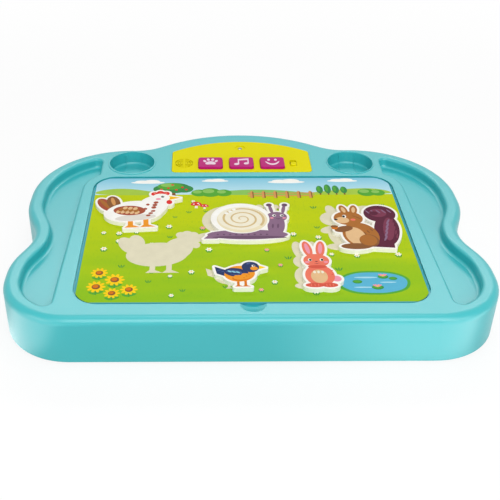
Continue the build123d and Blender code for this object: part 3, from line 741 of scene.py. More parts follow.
def hen() -> LoosePiece:
    """Draws a white hen with rust patches.

    Returns:
        The piece.
    """
    outline: list[Shape] = [
        Oval(0.10, 0.66, 0.08, 0.21, Ink.RUST, 1, 28),
        Oval(0.19, 0.72, 0.08, 0.19, Ink.BARK, 2, 10),
        *ovals(Ink.RED, 1, (0.69, 0.93, 0.045, 0.055), (0.76, 0.96, 0.045, 0.055),
               (0.83, 0.93, 0.045, 0.055)),
        Oval(0.86, 0.67, 0.035, 0.06, Ink.RED, 4),
        Patch(((0.85, 0.86), (1.0, 0.79), (0.85, 0.73)), Ink.YELLOW, 1, 0.2),
        *legs((0.36, 0.54), 0.06, 0.06, Ink.ORANGE),
        *ovals(Ink.WHITE, 3, (0.43, 0.44, 0.33, 0.27, 6), (0.66, 0.58, 0.15, 0.26, -18),
               (0.76, 0.80, 0.11, 0.13)),
    ]
    details: list[Shape] = [
        Oval(0.45, 0.265, 0.24, 0.085, Ink.GREY, 4, 4),
        Oval(0.38, 0.47, 0.19, 0.135, Ink.RUST, 5, -6),
        Oval(0.085, 0.69, 0.026, 0.15, Ink.CHESTNUT, 2, 28),
        Oval(0.185, 0.75, 0.024, 0.12, Ink.TIMBER, 3, 10),
        *row((0.25, 0.45), (0.47, 0.40), 5, (0.024, 0.052), -32, Ink.TAN, 6),
        *row((0.28, 0.50), (0.46, 0.455), 4, (0.026, 0.05), -32, Ink.CHESTNUT, 7),
        *row((0.33, 0.545), (0.45, 0.515), 3, (0.026, 0.042), -32, Ink.TAN, 8),
        *row((0.60, 0.31), (0.66, 0.43), 3, (0.028, 0.026), 10, Ink.RUST, 5),
        *row((0.67, 0.53), (0.70, 0.67), 3, (0.03, 0.034), 20, Ink.RUST, 5),
        *row((0.57, 0.50), (0.60, 0.62), 2, (0.022, 0.028), 0, Ink.RUST, 5),
        *row((0.69, 0.94), (0.83, 0.94), 3, (0.016, 0.02), 0, Ink.SALMON, 5),
        Oval(0.73, 0.77, 0.032, 0.028, Ink.PINK, 5),
        Oval(0.785, 0.835, 0.019, 0.027, Ink.BLACK, 5),
        Oval(0.790, 0.846, 0.006, 0.008, Ink.WHITE, 6),
        Patch(((0.87, 0.795), (0.97, 0.785), (0.87, 0.775)), Ink.AMBER, 5),
    ]
    return LoosePiece("hen", (80.0, 64.0), (-101.0, 37.0, 4.0), (-76.0, -30.0), outline, details)


def snail() -> LoosePiece:
    """Draws a snail with a cream shell and a mauve body.

    Returns:
        The piece.
    """
    outline: list[Shape] = [
        *ovals(Ink.MAUVE, 2, (0.50, 0.13, 0.46, 0.13), (0.84, 0.38, 0.10, 0.30, -6),
               (0.86, 0.62, 0.12, 0.14), (0.80, 0.84, 0.022, 0.13, 8), (0.95, 0.84, 0.022, 0.13, -10)),
        *row((0.785, 0.965), (0.972, 0.965), 2, (0.035, 0.045), 0, Ink.DUSK, 3),
        Patch(((0.10, 0.20), (0.0, 0.02), (0.16, 0.02)), Ink.MAUVE, 2),
        Oval(0.44, 0.57, 0.33, 0.41, Ink.WHITE, 3),
    ]
    details: list[Shape] = [
        Oval(0.52, 0.055, 0.42, 0.04, Ink.DUSK, 3),
        Oval(0.45, 0.545, 0.295, 0.365, Ink.STRAW, 4),
        Oval(0.435, 0.58, 0.27, 0.325, Ink.CREAM, 5),
        coil((0.445, 0.565), (0.25, 0.31), 2.75, 0.12, Ink.SAND, 6),
        *row((0.27, 0.72), (0.36, 0.83), 3, (0.022, 0.03), -40, Ink.WHITE, 7),
        *row((0.16, 0.13), (0.72, 0.13), 9, (0.014, 0.018), 0, Ink.DUSK, 3),
        *row((0.80, 0.36), (0.86, 0.36), 2, (0.012, 0.06), -6, Ink.DUSK, 3),
        Oval(0.83, 0.655, 0.022, 0.03, Ink.WHITE, 4),
        Oval(0.835, 0.652, 0.012, 0.018, Ink.BLACK, 5),
        Oval(0.92, 0.655, 0.022, 0.03, Ink.WHITE, 4),
        Oval(0.925, 0.652, 0.012, 0.018, Ink.BLACK, 5),
        *row((0.80, 0.585), (0.945, 0.585), 2, (0.022, 0.02), 0, Ink.PINK, 4),
        Patch(((0.845, 0.575), (0.875, 0.552), (0.905, 0.575), (0.875, 0.563)), Ink.BLACK, 4),
    ]
    return LoosePiece("snail", (80.0, 62.0), (0.0, 14.9, 0.0), (-9.0, 18.0), outline, details)


def squirrel() -> LoosePiece:
    """Draws a chestnut squirrel with a maroon tail.

    Returns:
        The piece.
    """
    outline: list[Shape] = [
        *ovals(Ink.MAROON, 1, (0.77, 0.40, 0.17, 0.34, -8), (0.74, 0.76, 0.22, 0.19)),
        Patch(((0.45, 0.05), (0.80, 0.02), (0.82, 0.20), (0.55, 0.22)), Ink.MAROON, 1),
        *ovals(Ink.CHESTNUT, 2, (0.25, 0.85, 0.055, 0.11, 10), (0.39, 0.85, 0.055, 0.11, -8)),
        *ovals(Ink.CHESTNUT, 3, (0.40, 0.29, 0.24, 0.27, 8), (0.29, 0.66, 0.20, 0.155)),
        Oval(0.30, 0.055, 0.20, 0.06, Ink.BARK, 4),
        Oval(0.19, 0.42, 0.13, 0.06, Ink.BARK, 6, 18),
    ]
    details: list[Shape] = [
        *ovals(Ink.PLUM, 2, (0.80, 0.42, 0.075, 0.25, -8), (0.72, 0.78, 0.12, 0.095)),
        Oval(0.66, 0.77, 0.06, 0.045, Ink.MAROON, 3),
        *row((0.72, 0.22), (0.82, 0.58), 5, (0.014, 0.06), -24, Ink.MAUVE, 3),
        *row((0.88, 0.26), (0.88, 0.60), 5, (0.010, 0.05), -14, Ink.PLUM, 3),
        *row((0.58, 0.80), (0.88, 0.82), 5, (0.011, 0.045), 30, Ink.MAUVE, 3),
        *row((0.46, 0.32), (0.56, 0.40), 3, (0.009, 0.034), 24, Ink.BARK, 6),
        *row((0.38, 0.70), (0.44, 0.66), 3, (0.008, 0.026), 50, Ink.BARK, 5),
        *ovals(Ink.TAN, 4, (0.33, 0.27, 0.13, 0.19, 8), (0.20, 0.615, 0.095, 0.07),
               (0.25, 0.85, 0.026, 0.065, 10), (0.39, 0.85, 0.026, 0.065, -8)),
        Oval(0.115, 0.63, 0.024, 0.018, Ink.BLACK, 5),
        Oval(0.24, 0.70, 0.028, 0.036, Ink.WHITE, 4),
        Oval(0.232, 0.698, 0.018, 0.026, Ink.BLACK, 5),
        Oval(0.35, 0.625, 0.035, 0.025, Ink.SALMON, 4),
        Oval(0.49, 0.17, 0.13, 0.13, Ink.BARK, 4),
        Oval(0.48, 0.18, 0.115, 0.115, Ink.CHESTNUT, 5),
        Oval(0.07, 0.455, 0.045, 0.045, Ink.AMBER, 7),
        Oval(0.07, 0.475, 0.05, 0.026, Ink.BARK, 8),
    ]
    return LoosePiece("squirrel", (68.0, 78.0), (109.9, 6.9, 0.0), (99.0, 12.0), outline, details)


def bird() -> LoosePiece:
    """Draws a navy bird with an orange breast.

    Returns:
        The piece.
    """
    outline: list[Shape] = [
        *legs((0.42, 0.56), 0.05, 0.05, Ink.AMBER),
        Patch(((0.28, 0.60), (0.0, 0.78), (0.04, 0.50), (0.26, 0.36)), Ink.NAVY, 2),
        Patch(((0.84, 0.84), (1.0, 0.74), (0.84, 0.66)), Ink.YELLOW, 2),
        Oval(0.48, 0.50, 0.30, 0.31, Ink.ORANGE, 3, 12),
        Oval(0.70, 0.76, 0.17, 0.21, Ink.NAVY, 4),
        Oval(0.42, 0.54, 0.24, 0.17, Ink.NAVY, 5, -14),
    ]
    details: list[Shape] = [
        Oval(0.52, 0.34, 0.19, 0.12, Ink.AMBER, 4, 12),
        Oval(0.54, 0.38, 0.19, 0.12, Ink.ORANGE, 5, 12),
        Oval(0.38, 0.54, 0.16, 0.10, Ink.SLATE, 6, -14),
        *row((0.27, 0.52), (0.47, 0.475), 4, (0.05, 0.028), -34, Ink.NAVY, 7),
        *row((0.29, 0.58), (0.45, 0.545), 3, (0.046, 0.026), -34, Ink.SKY, 8),
        *row((0.10, 0.64), (0.22, 0.53), 3, (0.012, 0.07), -62, Ink.SLATE, 3),
        *row((0.56, 0.33), (0.66, 0.46), 3, (0.016, 0.014), 0, Ink.AMBER, 6),
        Oval(0.77, 0.70, 0.075, 0.075, Ink.ORANGE, 5),
        Oval(0.76, 0.80, 0.034, 0.042, Ink.WHITE, 6),
        Oval(0.768, 0.80, 0.020, 0.028, Ink.BLACK, 7),
        Oval(0.665, 0.90, 0.05, 0.03, Ink.SLATE, 5, 30),
    ]
    return LoosePiece("bird", (44.0, 37.0), (-8.9, -69.1, 0.0), (-16.5, -66.5), outline, details)


def rabbit() -> LoosePiece:
    """Draws a salmon rabbit, sitting.

    Returns:
        The piece.
    """
    outline: list[Shape] = [
        Oval(0.88, 0.17, 0.12, 0.06, Ink.PINK, 1),
        *ovals(Ink.SALMON, 2, (0.28, 0.82, 0.12, 0.18, 7), (0.62, 0.82, 0.12, 0.18, -7),
               (0.48, 0.24, 0.37, 0.22)),
        Oval(0.46, 0.56, 0.33, 0.145, Ink.SALMON, 3),
        *ovals(Ink.ROSE, 3, (0.32, 0.04, 0.24, 0.045), (0.68, 0.04, 0.20, 0.045)),
    ]
    details: list[Shape] = [
        *ovals(Ink.PINK, 3, (0.28, 0.83, 0.055, 0.12, 7), (0.62, 0.83, 0.055, 0.12, -7)),
        Oval(0.46, 0.425, 0.24, 0.035, Ink.ROSE, 3),
        Oval(0.46, 0.22, 0.21, 0.14, Ink.TAN, 3),
        *row((0.36, 0.31), (0.56, 0.31), 3, (0.035, 0.028), 0, Ink.CREAM, 4),
        *row((0.22, 0.04), (0.40, 0.04), 3, (0.013, 0.026), 0, Ink.SALMON, 4),
        *row((0.60, 0.04), (0.76, 0.04), 3, (0.013, 0.026), 0, Ink.SALMON, 4),
        *row((0.80, 0.26), (0.80, 0.34), 2, (0.03, 0.008), 30, Ink.ROSE, 3),
        Oval(0.30, 0.575, 0.05, 0.03, Ink.WHITE, 4),
        Oval(0.31, 0.573, 0.034, 0.023, Ink.BLACK, 5),
        Oval(0.60, 0.575, 0.05, 0.03, Ink.WHITE, 4),
        Oval(0.61, 0.573, 0.034, 0.023, Ink.BLACK, 5),
        *row((0.22, 0.525), (0.70, 0.525), 2, (0.06, 0.02), 0, Ink.PINK, 4),
        Patch(((0.41, 0.545), (0.51, 0.545), (0.46, 0.525)), Ink.MAROON, 4, 0.4),
        Patch(((0.38, 0.505), (0.46, 0.495), (0.54, 0.505), (0.46, 0.485)), Ink.MAROON, 4, 0.4),
    ]
    return LoosePiece("rabbit", (34.0, 69.0), (59.1, -54.2, 0.0), (52.0, -50.0), outline, details)


@dataclass
class PictureCard:
    """The lift-out card: a generic meadow with sky, hills, an apple tree, a fence, a pond and flowers.

    Attributes:
        horizon: Where the meadow ends, from the card's middle.
        tree_foot: Where the apple tree stands.
        pond_middle: The middle of the pond.
        pond_shore: Half width and half depth of the ground round it that is left free.
        bed_corner: The right back corner of the sunflowers' bed.
        meadow: The bounds of the small flowers, across and along.
        tufts: How many tufts of grass there are, most of them with a daisy.
        tuft_distance: The least distance between two of them.
        tuft_size: The smallest and the largest size of one.
        seed: Start of their scatter.
    """

    horizon: float = 71.0
    tree_foot: Point = (-70.0, 66.0)
    pond_middle: Point = (104.0, -76.0)
    pond_shore: Point = (37.0, 22.0)
    bed_corner: Point = (-94.0, -52.0)
    meadow: tuple[Point, Point] = ((-138.0, 138.0), (-96.0, 58.0))
    tufts: int = 62
    tuft_distance: float = 12.5
    tuft_size: Point = (1.05, 1.65)
    seed: int = 11

    def sky(self) -> list[Shape]:
        """Draws hills along the horizon and clouds over them.

        Returns:
            The hills and the clouds.
        """
        made = laid([
            Patch(((-147, 0), (-147, 9), (-118, 15), (-82, 4), (-60, 0)), Ink.LIME, 1, 0.9),
            Patch(((-70, 0), (-30, 7), (20, 12), (70, 3), (90, 0)), Ink.HILL, 1, 0.9),
            Patch(((48, 0), (84, 8), (122, 14), (146, 8), (147, 0)), Ink.LIME, 2, 0.9),
        ], place=(0.0, self.horizon - 1))
        cloud = ovals(Ink.WHITE, 3, (0, 0, 17, 2.2), (-6, 1.8, 7, 2.6), (4, 2.4, 8, 3.2))
        for x, y, size in ((-96.0, 95.0, 1.0), (-28.0, 98.0, 0.8), (44.0, 95.5, 1.1), (101.0, 97.5, 0.9)):
            made += laid(cloud, (size, size), place=(x, y))
        return made

    def bushes(self) -> list[Shape]:
        """Draws round bushes and slim poplars along the horizon.

        Returns:
            The bushes and the poplars.
        """
        made: list[Shape] = []
        for x, size in ((-44.0, 1.0), (-33.0, 1.3), (-20.0, 1.0), (122.0, 1.1), (133.0, 0.9)):
            made += [Oval(x, 3 * size, 8 * size, 6.5 * size, Ink.LEAF, 4),
                     Oval(x - 2, 5 * size, 4.5 * size, 3.2 * size, Ink.HILL, 5)]
        for x, height in ((76.0, 12.0), (84.0, 14.5), (92.0, 12.5), (100.0, 10.5)):
            made += [Patch(((x - 0.8, -1), (x + 0.8, -1), (x + 0.8, 6), (x - 0.8, 6)), Ink.BARK, 3),
                     Oval(x, 3 + height / 2, 3.4, height * 0.62, Ink.FOREST, 4),
                     Oval(x - 0.9, 4 + height / 2, 1.5, height * 0.42, Ink.LEAF, 5)]
        return laid(made, place=(0.0, self.horizon))

    def apple_tree(self) -> list[Shape]:
        """Draws an apple tree at the left.

        Returns:
            Its trunk, its crown and its apples.
        """
        tree = [
            Patch(((-4, 0), (4, 0), (2.2, 6), (2.4, 14), (-2.4, 14), (-2.2, 6)), Ink.BARK, 5, 0.3),
            *ovals(Ink.FOREST, 6, (0, 18, 17, 10), (-11, 16, 9, 7), (11, 16, 9, 7)),
            Oval(-3, 21, 13, 7, Ink.LEAF, 7),
            Oval(-6, 23.5, 7, 3.6, Ink.HILL, 8),
        ]
        apples = [Oval(x, y, 1.5, 1.4, Ink.RED, 9)
                  for x, y in ((-12, 15), (-5, 17.5), (3, 14), (9, 19), (-1, 24), (13, 14.5))]
        return laid(tree + apples, place=self.tree_foot)

    def fence(self) -> list[Shape]:
        """Draws a wooden fence along the back of the meadow.

        Returns:
            Its two rails and its posts.
        """
        made: list[Shape] = [
            Patch(((4, rail), (70, rail + 0.8), (70, rail + 2.6), (4, rail + 1.8)), Ink.TIMBER, 6, 0.1)
            for rail in (3.0, 7.6)]
        post = [Patch(((-1.7, 0), (1.7, 0), (1.7, 11.5), (0, 13.6), (-1.7, 11.5)), Ink.TIMBER, 7, 0.1),
                Patch(((0.6, 0), (1.7, 0), (1.7, 11.4), (0.6, 12.4)), Ink.BARK, 8)]
        first, pitch, posts = 8.0, 11.6, 6
        for step in range(posts):
            made += laid(post, place=(first + pitch * step, 0.0))
        return laid(made, place=(0.0, self.horizon - 7))

    def pond(self) -> list[Shape]:
        """Draws a pond with lily pads at the front right.

        Returns:
            The shore, the water, its ripples, the pads and two lilies.
        """
        made: list[Shape] = [
            Patch(((-33, -2), (-24, 13), (2, 17), (28, 12), (33, -4), (20, -17), (-8, -19), (-27, -14)),
                  Ink.LEAF, 1, 1.0),
            Patch(((-30, -2), (-22, 11), (2, 14.5), (26, 10), (30, -4), (18, -15), (-8, -16.5), (-24, -12)),
                  Ink.POND, 2, 1.0),
            *ovals(Ink.RIPPLE, 3, (-6, 6, 10, 1.1), (12, -1, 7, 0.9), (-10, -8, 8, 0.9)),
        ]
        for x, y, size in ((9, 7, 1.0), (17, 4.5, 0.8), (-14, 0, 0.9), (2, -8, 1.1)):
            made += [Oval(x, y, 4.6 * size, 2.9 * size, Ink.GRASS, 4),
                     Oval(x - 0.4, y + 0.4, 3.6 * size, 2.0 * size, Ink.LEAF, 5)]
        lily = [Oval(turn / 25, 1.2, 0.9, 2.1, Ink.PINK, 6, -turn) for turn in (-50, -20, 20, 50)]
        lily.append(Oval(0, 0.6, 1.0, 0.8, Ink.YELLOW, 7))
        for place in ((9.0, 8.0), (2.0, -7.0)):
            made += laid(lily, place=place)
        return laid(made, place=self.pond_middle)

    def sunflowers(self) -> list[Shape]:
        """Draws a bed of sunflowers at the front left.

        Returns:
            The stems, the leaves and the heads.
        """
        head: list[Shape] = []
        petals, ring = 10, 4.6
        for step in range(petals):
            turn = 360 / petals * step
            angle = math.radians(turn)
            x, y = ring * math.cos(angle), ring * math.sin(angle)
            head.append(Oval(x, y, 2.9, 1.35, Ink.YELLOW, 3 + step % 2, turn))
        head.append(Oval(0, 0, 3.3, 3.3, Ink.BARK, 5))
        made: list[Shape] = []
        for x, y, size in ((-130.0, -62.0, 1.0), (-116.0, -72.0, 1.15), (-131.0, -82.0, 1.1),
                           (-103.0, -86.0, 1.0), (-117.0, -91.0, 0.95)):
            made += laid([
                Patch(((-0.7, 0), (0.7, 0), (1.2, -10 * size), (-0.2, -10 * size)), Ink.GRASS, 2),
                *ovals(Ink.LEAF, 2, (3.4, -7 * size, 3.6, 1.5, 28), (-2.6, -8 * size, 3.4, 1.4, -28)),
                *laid(head, (size, size)),
                Oval(-0.4, 0.5, 2.2 * size, 2.1 * size, Ink.AMBER, 6),
            ], place=(x, y))
        return made

    def toadstools(self) -> list[Shape]:
        """Draws two red toadstools at the back left.

        Returns:
            Their stems, caps and spots.
        """
        toadstool: list[Shape] = [
            Patch(((-1.6, -4), (1.6, -4), (1.1, 2), (-1.1, 2)), Ink.CREAM, 3, 0.3),
            Patch(((-6, 0.6), (6, 0.6), (4.6, 6), (0, 8.6), (-4.6, 6)), Ink.RED, 4, 0.8),
            *ovals(Ink.WHITE, 5, (-2.4, 3.4, 0.9, 0.8), (1.8, 4.6, 1.0, 0.9), (2.9, 2.1, 0.7, 0.6)),
        ]
        return laid(toadstool, place=(-47.0, 49.0)) + laid(toadstool, (0.75, 0.75), place=(-39.0, 46.5))

    def small_flowers(self) -> list[Shape]:
        """Scatters tufts of grass and daisies over the open meadow.

        Returns:
            The blades and the petals.
        """
        rng = random.Random(self.seed)
        places: list[Point] = []
        while len(places) < self.tufts:
            x, y = (rng.uniform(*bounds) for bounds in self.meadow)
            from_pond = [(a - b) / shore for a, b, shore in zip((x, y), self.pond_middle, self.pond_shore)]
            in_bed = x < self.bed_corner[0] and y < self.bed_corner[1]
            crowded = any(math.dist((x, y), other) < self.tuft_distance for other in places)
            if math.hypot(*from_pond) >= 1 and not in_bed and not crowded:
                places.append((x, y))
        tuft = [Oval(0.05 * lean, -1.9, 0.34, 1.6, Ink.GRASS, 1, -lean) for lean in (-26, 0, 26)]
        made: list[Shape] = []
        for index, place in enumerate(places):
            size = rng.uniform(*self.tuft_size)
            # Every third tuft has no daisy, and every fifth daisy is pink.
            petal = Ink.WHITE if index % 5 else Ink.PINK
            daisy = [Oval(0, 0, 2.0, 0.62, petal, 2, turn) for turn in (0, 60, 120)]
            daisy.append(Oval(0, 0, 0.62, 0.55, Ink.YELLOW, 3))
            made += laid(tuft if index % 3 == 2 else tuft + daisy, (size, size), place=place)
        return made

    def build(self, pieces: list[LoosePiece], inks: Inks) -> Object:
        """Prints the card.

        Args:
            pieces: The loose pieces, whose pale marks are on the card.
            inks: The ink materials.

        Returns:
            The printed picture.
        """
        middle, top = upper_face("picture_card")
        drawings = (self.sky(), self.bushes(), self.apple_tree(), self.fence(), self.pond(),
                    self.sunflowers(), self.toadstools(), self.small_flowers(),
                    *(piece.mark() for piece in pieces))
        shapes = [shape for drawing in drawings for shape in drawing]
        return PrintSheet("card_picture", "picture_card", top, middle, shapes=shapes).build(inks)


@dataclass
class SoundPanel:
    """The panel's three buttons and the icon printed on each.

    Attributes:
        stretch: How much the icons are drawn wider and deeper than their tables say.
        ink_height: How far the tampon print stands up.
    """

    stretch: Point = (1.2, 1.3)
    ink_height: float = 0.1

    def paw(self) -> list[Shape]:
        """Draws a paw print.

        Returns:
            The pad and four toes.
        """
        return [
            Patch(((-3.8, -4.6), (0.0, -3.9), (3.8, -4.6), (4.9, -2.2), (2.6, 0.5), (0.0, 1.3), (-2.6, 0.5),
                   (-4.9, -2.2)), Ink.ICON, 1, 0.9),
            *ovals(Ink.ICON, 1, (-5.0, 1.4, 1.25, 1.9, 24), (-1.9, 3.9, 1.3, 2.0, 8),
                   (1.9, 3.9, 1.3, 2.0, -8), (5.0, 1.4, 1.25, 1.9, -24)),
        ]

    def notes(self) -> list[Shape]:
        """Draws two notes under a beam.

        Returns:
            The heads, the stems and the beam.
        """
        return [
            *ovals(Ink.ICON, 1, (-4.2, -3.6, 2.3, 1.7, 18), (4.2, -2.6, 2.3, 1.7, 18)),
            Patch(((-3.1, -3.4), (-2.0, -3.4), (-2.0, 4.6), (-3.1, 4.4)), Ink.ICON),
            Patch(((5.3, -2.4), (6.4, -2.4), (6.4, 5.8), (5.3, 5.6)), Ink.ICON),
            Patch(((-3.1, 2.2), (6.4, 3.4), (6.4, 5.9), (-3.1, 4.7)), Ink.ICON),
        ]

    def smile(self) -> list[Shape]:
        """Draws a smile with two dots.

        Returns:
            The smile and the dots.
        """
        return [
            Patch(((-6.6, 0.8), (-4.0, -4.0), (0.0, -5.6), (4.0, -4.0), (6.6, 0.8), (5.0, 0.4), (3.0, -2.2),
                   (0.0, -3.2), (-3.0, -2.2), (-5.0, 0.4)), Ink.ICON, 1, 0.8),
            *ovals(Ink.ICON, 1, (-3.0, 3.4, 1.2, 1.7), (3.0, 3.4, 1.2, 1.7)),
        ]

    def build(self, inks: Inks) -> list[Object]:
        """Prints the three icons.

        Args:
            inks: The ink materials.

        Returns:
            The icons, each riding on its button.
        """
        made = []
        for name, shapes in zip(BUTTONS, (self.paw(), self.notes(), self.smile())):
            middle, top = upper_face(f"{name}_button")
            sheet = PrintSheet(f"{name}_icon", f"{name}_button", top, middle, layer_height=self.ink_height,
                               shapes=laid(shapes, self.stretch))
            made.append(sheet.build(inks))
        return made


@dataclass
class SiliconeDome:
    """The silicone dome under a button, made in its rest shape.

    Attributes:
        button: The button over it.
        profile: Its half section, from the rim round to the hollow's edge, in shares of radius and height.
        steps: How many faces go round it.
        sharp_degrees: The angle from which an edge is rounded.
        rounding: Radius of these edges.
        rounding_steps: How many faces round them.
        travel: How far the button presses it down, with a little room over it. Not used.
    """

    button: str
    profile: tuple[Point, ...] = (
        (1.0, 0.0), (1.0, 0.16), (0.88, 0.22), (0.70, 0.50), (0.56, 0.74), (0.52, 1.0), (0.0, 1.0),
        (0.0, 0.74), (0.42, 0.74), (0.56, 0.46), (0.72, 0.16), (0.86, 0.0),
    )
    steps: int = 56
    sharp_degrees: float = 40.0
    rounding: float = 0.18
    rounding_steps: int = 3
    travel: float = 2.08

    def build(self, silicone: Material) -> Object:
        """Makes the dome in place of the plain one.

        Args:
            silicone: Its material.

        Returns:
            The dome, riding on the desk.
        """
        node = f"{self.button}_dome"
        low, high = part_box(node)
        middle = (low + high) / 2
        radius, height = (high.x - low.x) / 2, high.z - low.z
        solid = bmesh.new()
        line = [solid.verts.new((middle.x + x * radius, middle.y, low.z + z * height))
                for x, z in self.profile]
        edges = [solid.edges.new(pair) for pair in zip(line, line[1:] + line[:1])]
        bmesh.ops.spin(solid, geom=line + edges, cent=middle, axis=(0, 0, 1), angle=2 * math.pi,
                       steps=self.steps, use_merge=True)
        bmesh.ops.remove_doubles(solid, verts=solid.verts, dist=MERGE_MM * MM)
        bmesh.ops.dissolve_degenerate(solid, edges=solid.edges, dist=MERGE_MM * MM)
        bmesh.ops.recalc_face_normals(solid, faces=solid.faces)
        sharp = [edge for edge in solid.edges
                 if len(edge.link_faces) == 2 and edge.calc_face_angle() > math.radians(self.sharp_degrees)]
        bmesh.ops.bevel(solid, geom=sharp, offset=self.rounding * MM, segments=self.rounding_steps,
                        profile=0.5, affect="EDGES", material=-1)
        for face in solid.faces:
            face.smooth = True
        piece = placed(f"{self.button}_silicone_dome", solid, [silicone], "desk")
        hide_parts(node)
        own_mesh(piece)
        return piece


@dataclass
class Screws:
    """Pan-head screws with a cross recess and a thread, head down, in place of a node's plain ones.

    Attributes:
        node: The node that they stand for.
        body: The body that they ride on.
        apart: The distance within which points belong to one screw.
        head: The head's half section from its middle, in shares of its radius and height.
        cross: Length, width and depth of the recess, in shares of the head's radius and height.
        core: The shank's radius between the threads, as a share of its radius.
        tip: The radius at the shank's end, as a share of that.
        pitch: How far the thread rises in one turn.
        flank: Half the thread's width at its root, as a share of the pitch.
        sunk: The radius at which the thread's root lies in the shank, as a share of the shank's.
        steps: How many faces go round a screw.
    """

    node: str
    body: str
    apart: float = 8.0
    head: tuple[Point, ...] = ((0.0, 0.0), (0.5, 0.0), (0.78, 0.12), (0.95, 0.38), (1.0, 0.7), (1.0, 1.0))
    cross: Place = (1.15, 0.3, 0.62)
    core: float = 0.76
    tip: float = 0.4
    pitch: float = 1.0
    flank: float = 0.3
    sunk: float = 0.96
    steps: int = 32

    def groups(self) -> list[list[Vector]]:
        """Gathers the node's points screw by screw.

        Returns:
            The points of each screw.
        """
        found: list[list[Vector]] = []
        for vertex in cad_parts[self.node].data.vertices:
            near = [group for group in found if (group[0] - vertex.co).xy.length < self.apart * MM]
            if near:
                near[0].append(vertex.co.copy())
            else:
                found.append([vertex.co.copy()])
        return found

    def blank(self, wide: float, rise: float, root: float, length: float) -> BMesh:
        """Makes a screw without its recess and thread, head down on the origin.

        Args:
            wide: The head's radius.
            rise: The head's height.
            root: The shank's radius between the threads.
            length: The whole screw's length.

        Returns:
            The turned solid.
        """
        solid = bmesh.new()
        profile = [(radius * wide, height * rise) for radius, height in self.head]
        profile += [(root, rise), (root, length - root), (root * self.tip, length), (0.0, length)]
        line = [solid.verts.new((radius, 0, height)) for radius, height in profile]
        edges = [solid.edges.new(pair) for pair in zip(line, line[1:])]
        bmesh.ops.spin(solid, geom=line + edges, axis=(0, 0, 1), angle=2 * math.pi, steps=self.steps,
                       use_merge=True)
        return solid

    def recess(self, wide: float, rise: float) -> BMesh:
        """Makes the solid of the cross recess.

        Args:
            wide: The head's radius.
            rise: The head's height.

        Returns:
            A cross that stands through the head's face.
        """
        solid = bmesh.new()
        arm, half = self.cross[0] * wide / 2, self.cross[1] * wide / 2
        quarter = ((arm, half), (half, half), (half, arm))
        corners = [Matrix.Rotation(math.radians(turn), 2) @ Vector(point)
                   for turn in (0, 90, 180, 270) for point in quarter]
        foot = solid.faces.new([solid.verts.new((x, y, -rise)) for x, y in corners])
        raised = bmesh.ops.extrude_face_region(solid, geom=[foot])["geom"]
        bmesh.ops.translate(solid, verts=[item for item in raised if isinstance(item, BMVert)],
                            vec=(0, 0, rise * (1 + self.cross[2])))
        return solid

    def thread(self, radii: Point, span: Point) -> BMesh:
        """Makes the thread.

        Args:
            radii: Radius at its root and at its crest.
            span: Heights that it runs between.

        Returns:
            The wound solid.
        """
        solid = bmesh.new()
        rise = self.pitch * MM
        half = self.flank * rise
        corners = ((radii[0], -half), (radii[1], 0.0), (radii[0], half))
        points = [solid.verts.new((radius, 0, span[0] + half + height)) for radius, height in corners]
        face = solid.faces.new(points)
        steps = round((span[1] - span[0] - 2 * half) / rise * self.steps)
        bmesh.ops.spin(solid, geom=[face, *face.edges, *points], axis=(0, 0, 1), steps=steps,
                       dvec=(0, 0, rise / self.steps), angle=2 * math.pi * steps / self.steps)
        bmesh.ops.recalc_face_normals(solid, faces=solid.faces)
        return solid

    def one(self, points: list[Vector], middle: Vector) -> Mesh:
        """Makes one screw of the node's size.

        Args:
            points: The plain screw's points.
            middle: The middle of its head's face.

        Returns:
            The screw, head down on the origin.
        """
        reach = [((point - middle).xy.length, point.z - middle.z) for point in points]
        wide = max(radius for radius, _ in reach)
        length = max(height for _, height in reach)
        # The outer tenth of the radius is the head alone, and what is level with the end is the shank alone.
        rise = max(height for radius, height in reach if radius > 0.9 * wide)
        crest = max(radius for radius, height in reach if height > length - 0.05 * MM)
        root = crest * self.core
        items = []
        for solid in (self.blank(wide, rise, root, length), self.recess(wide, rise)):
            bmesh.ops.remove_doubles(solid, verts=solid.verts, dist=MERGE_MM * MM)
            bmesh.ops.recalc_face_normals(solid, faces=solid.faces)
            items.append(shown(f"{self.node}_blank", meshed(f"{self.node}_blank", solid)))
        cut = items[0].modifiers.new("recess", "BOOLEAN")
        cut.object, cut.solver = items[1], "EXACT"
        made = bpy.data.meshes.new_from_object(items[0].evaluated_get(bpy.context.evaluated_depsgraph_get()))
        for item in items:
            bpy.data.objects.remove(item)
        solid = self.thread((root * self.sunk, crest), (rise, length - root))
        solid.from_mesh(made)
        solid.to_mesh(made)
        solid.free()
        return made

    def build(self, steel: Material) -> Object:
        """Makes the screws.

        Args:
            steel: Their material.

        Returns:
            All the node's screws as one piece.
        """
        whole = bmesh.new()
        screw: Mesh | None = None
        for points in self.groups():
            across, along, up = ([point[axis] for point in points] for axis in range(3))
            middle = Vector(((min(across) + max(across)) / 2, (min(along) + max(along)) / 2, min(up)))
            screw = screw or self.one(points, middle)
            before = len(whole.verts)
            whole.from_mesh(screw)
            whole.verts.ensure_lookup_table()
            bmesh.ops.translate(whole, verts=whole.verts[before:], vec=middle)
        piece = placed(f"{self.node}_threaded", whole, [steel], self.body)
        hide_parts(self.node)
        return piece


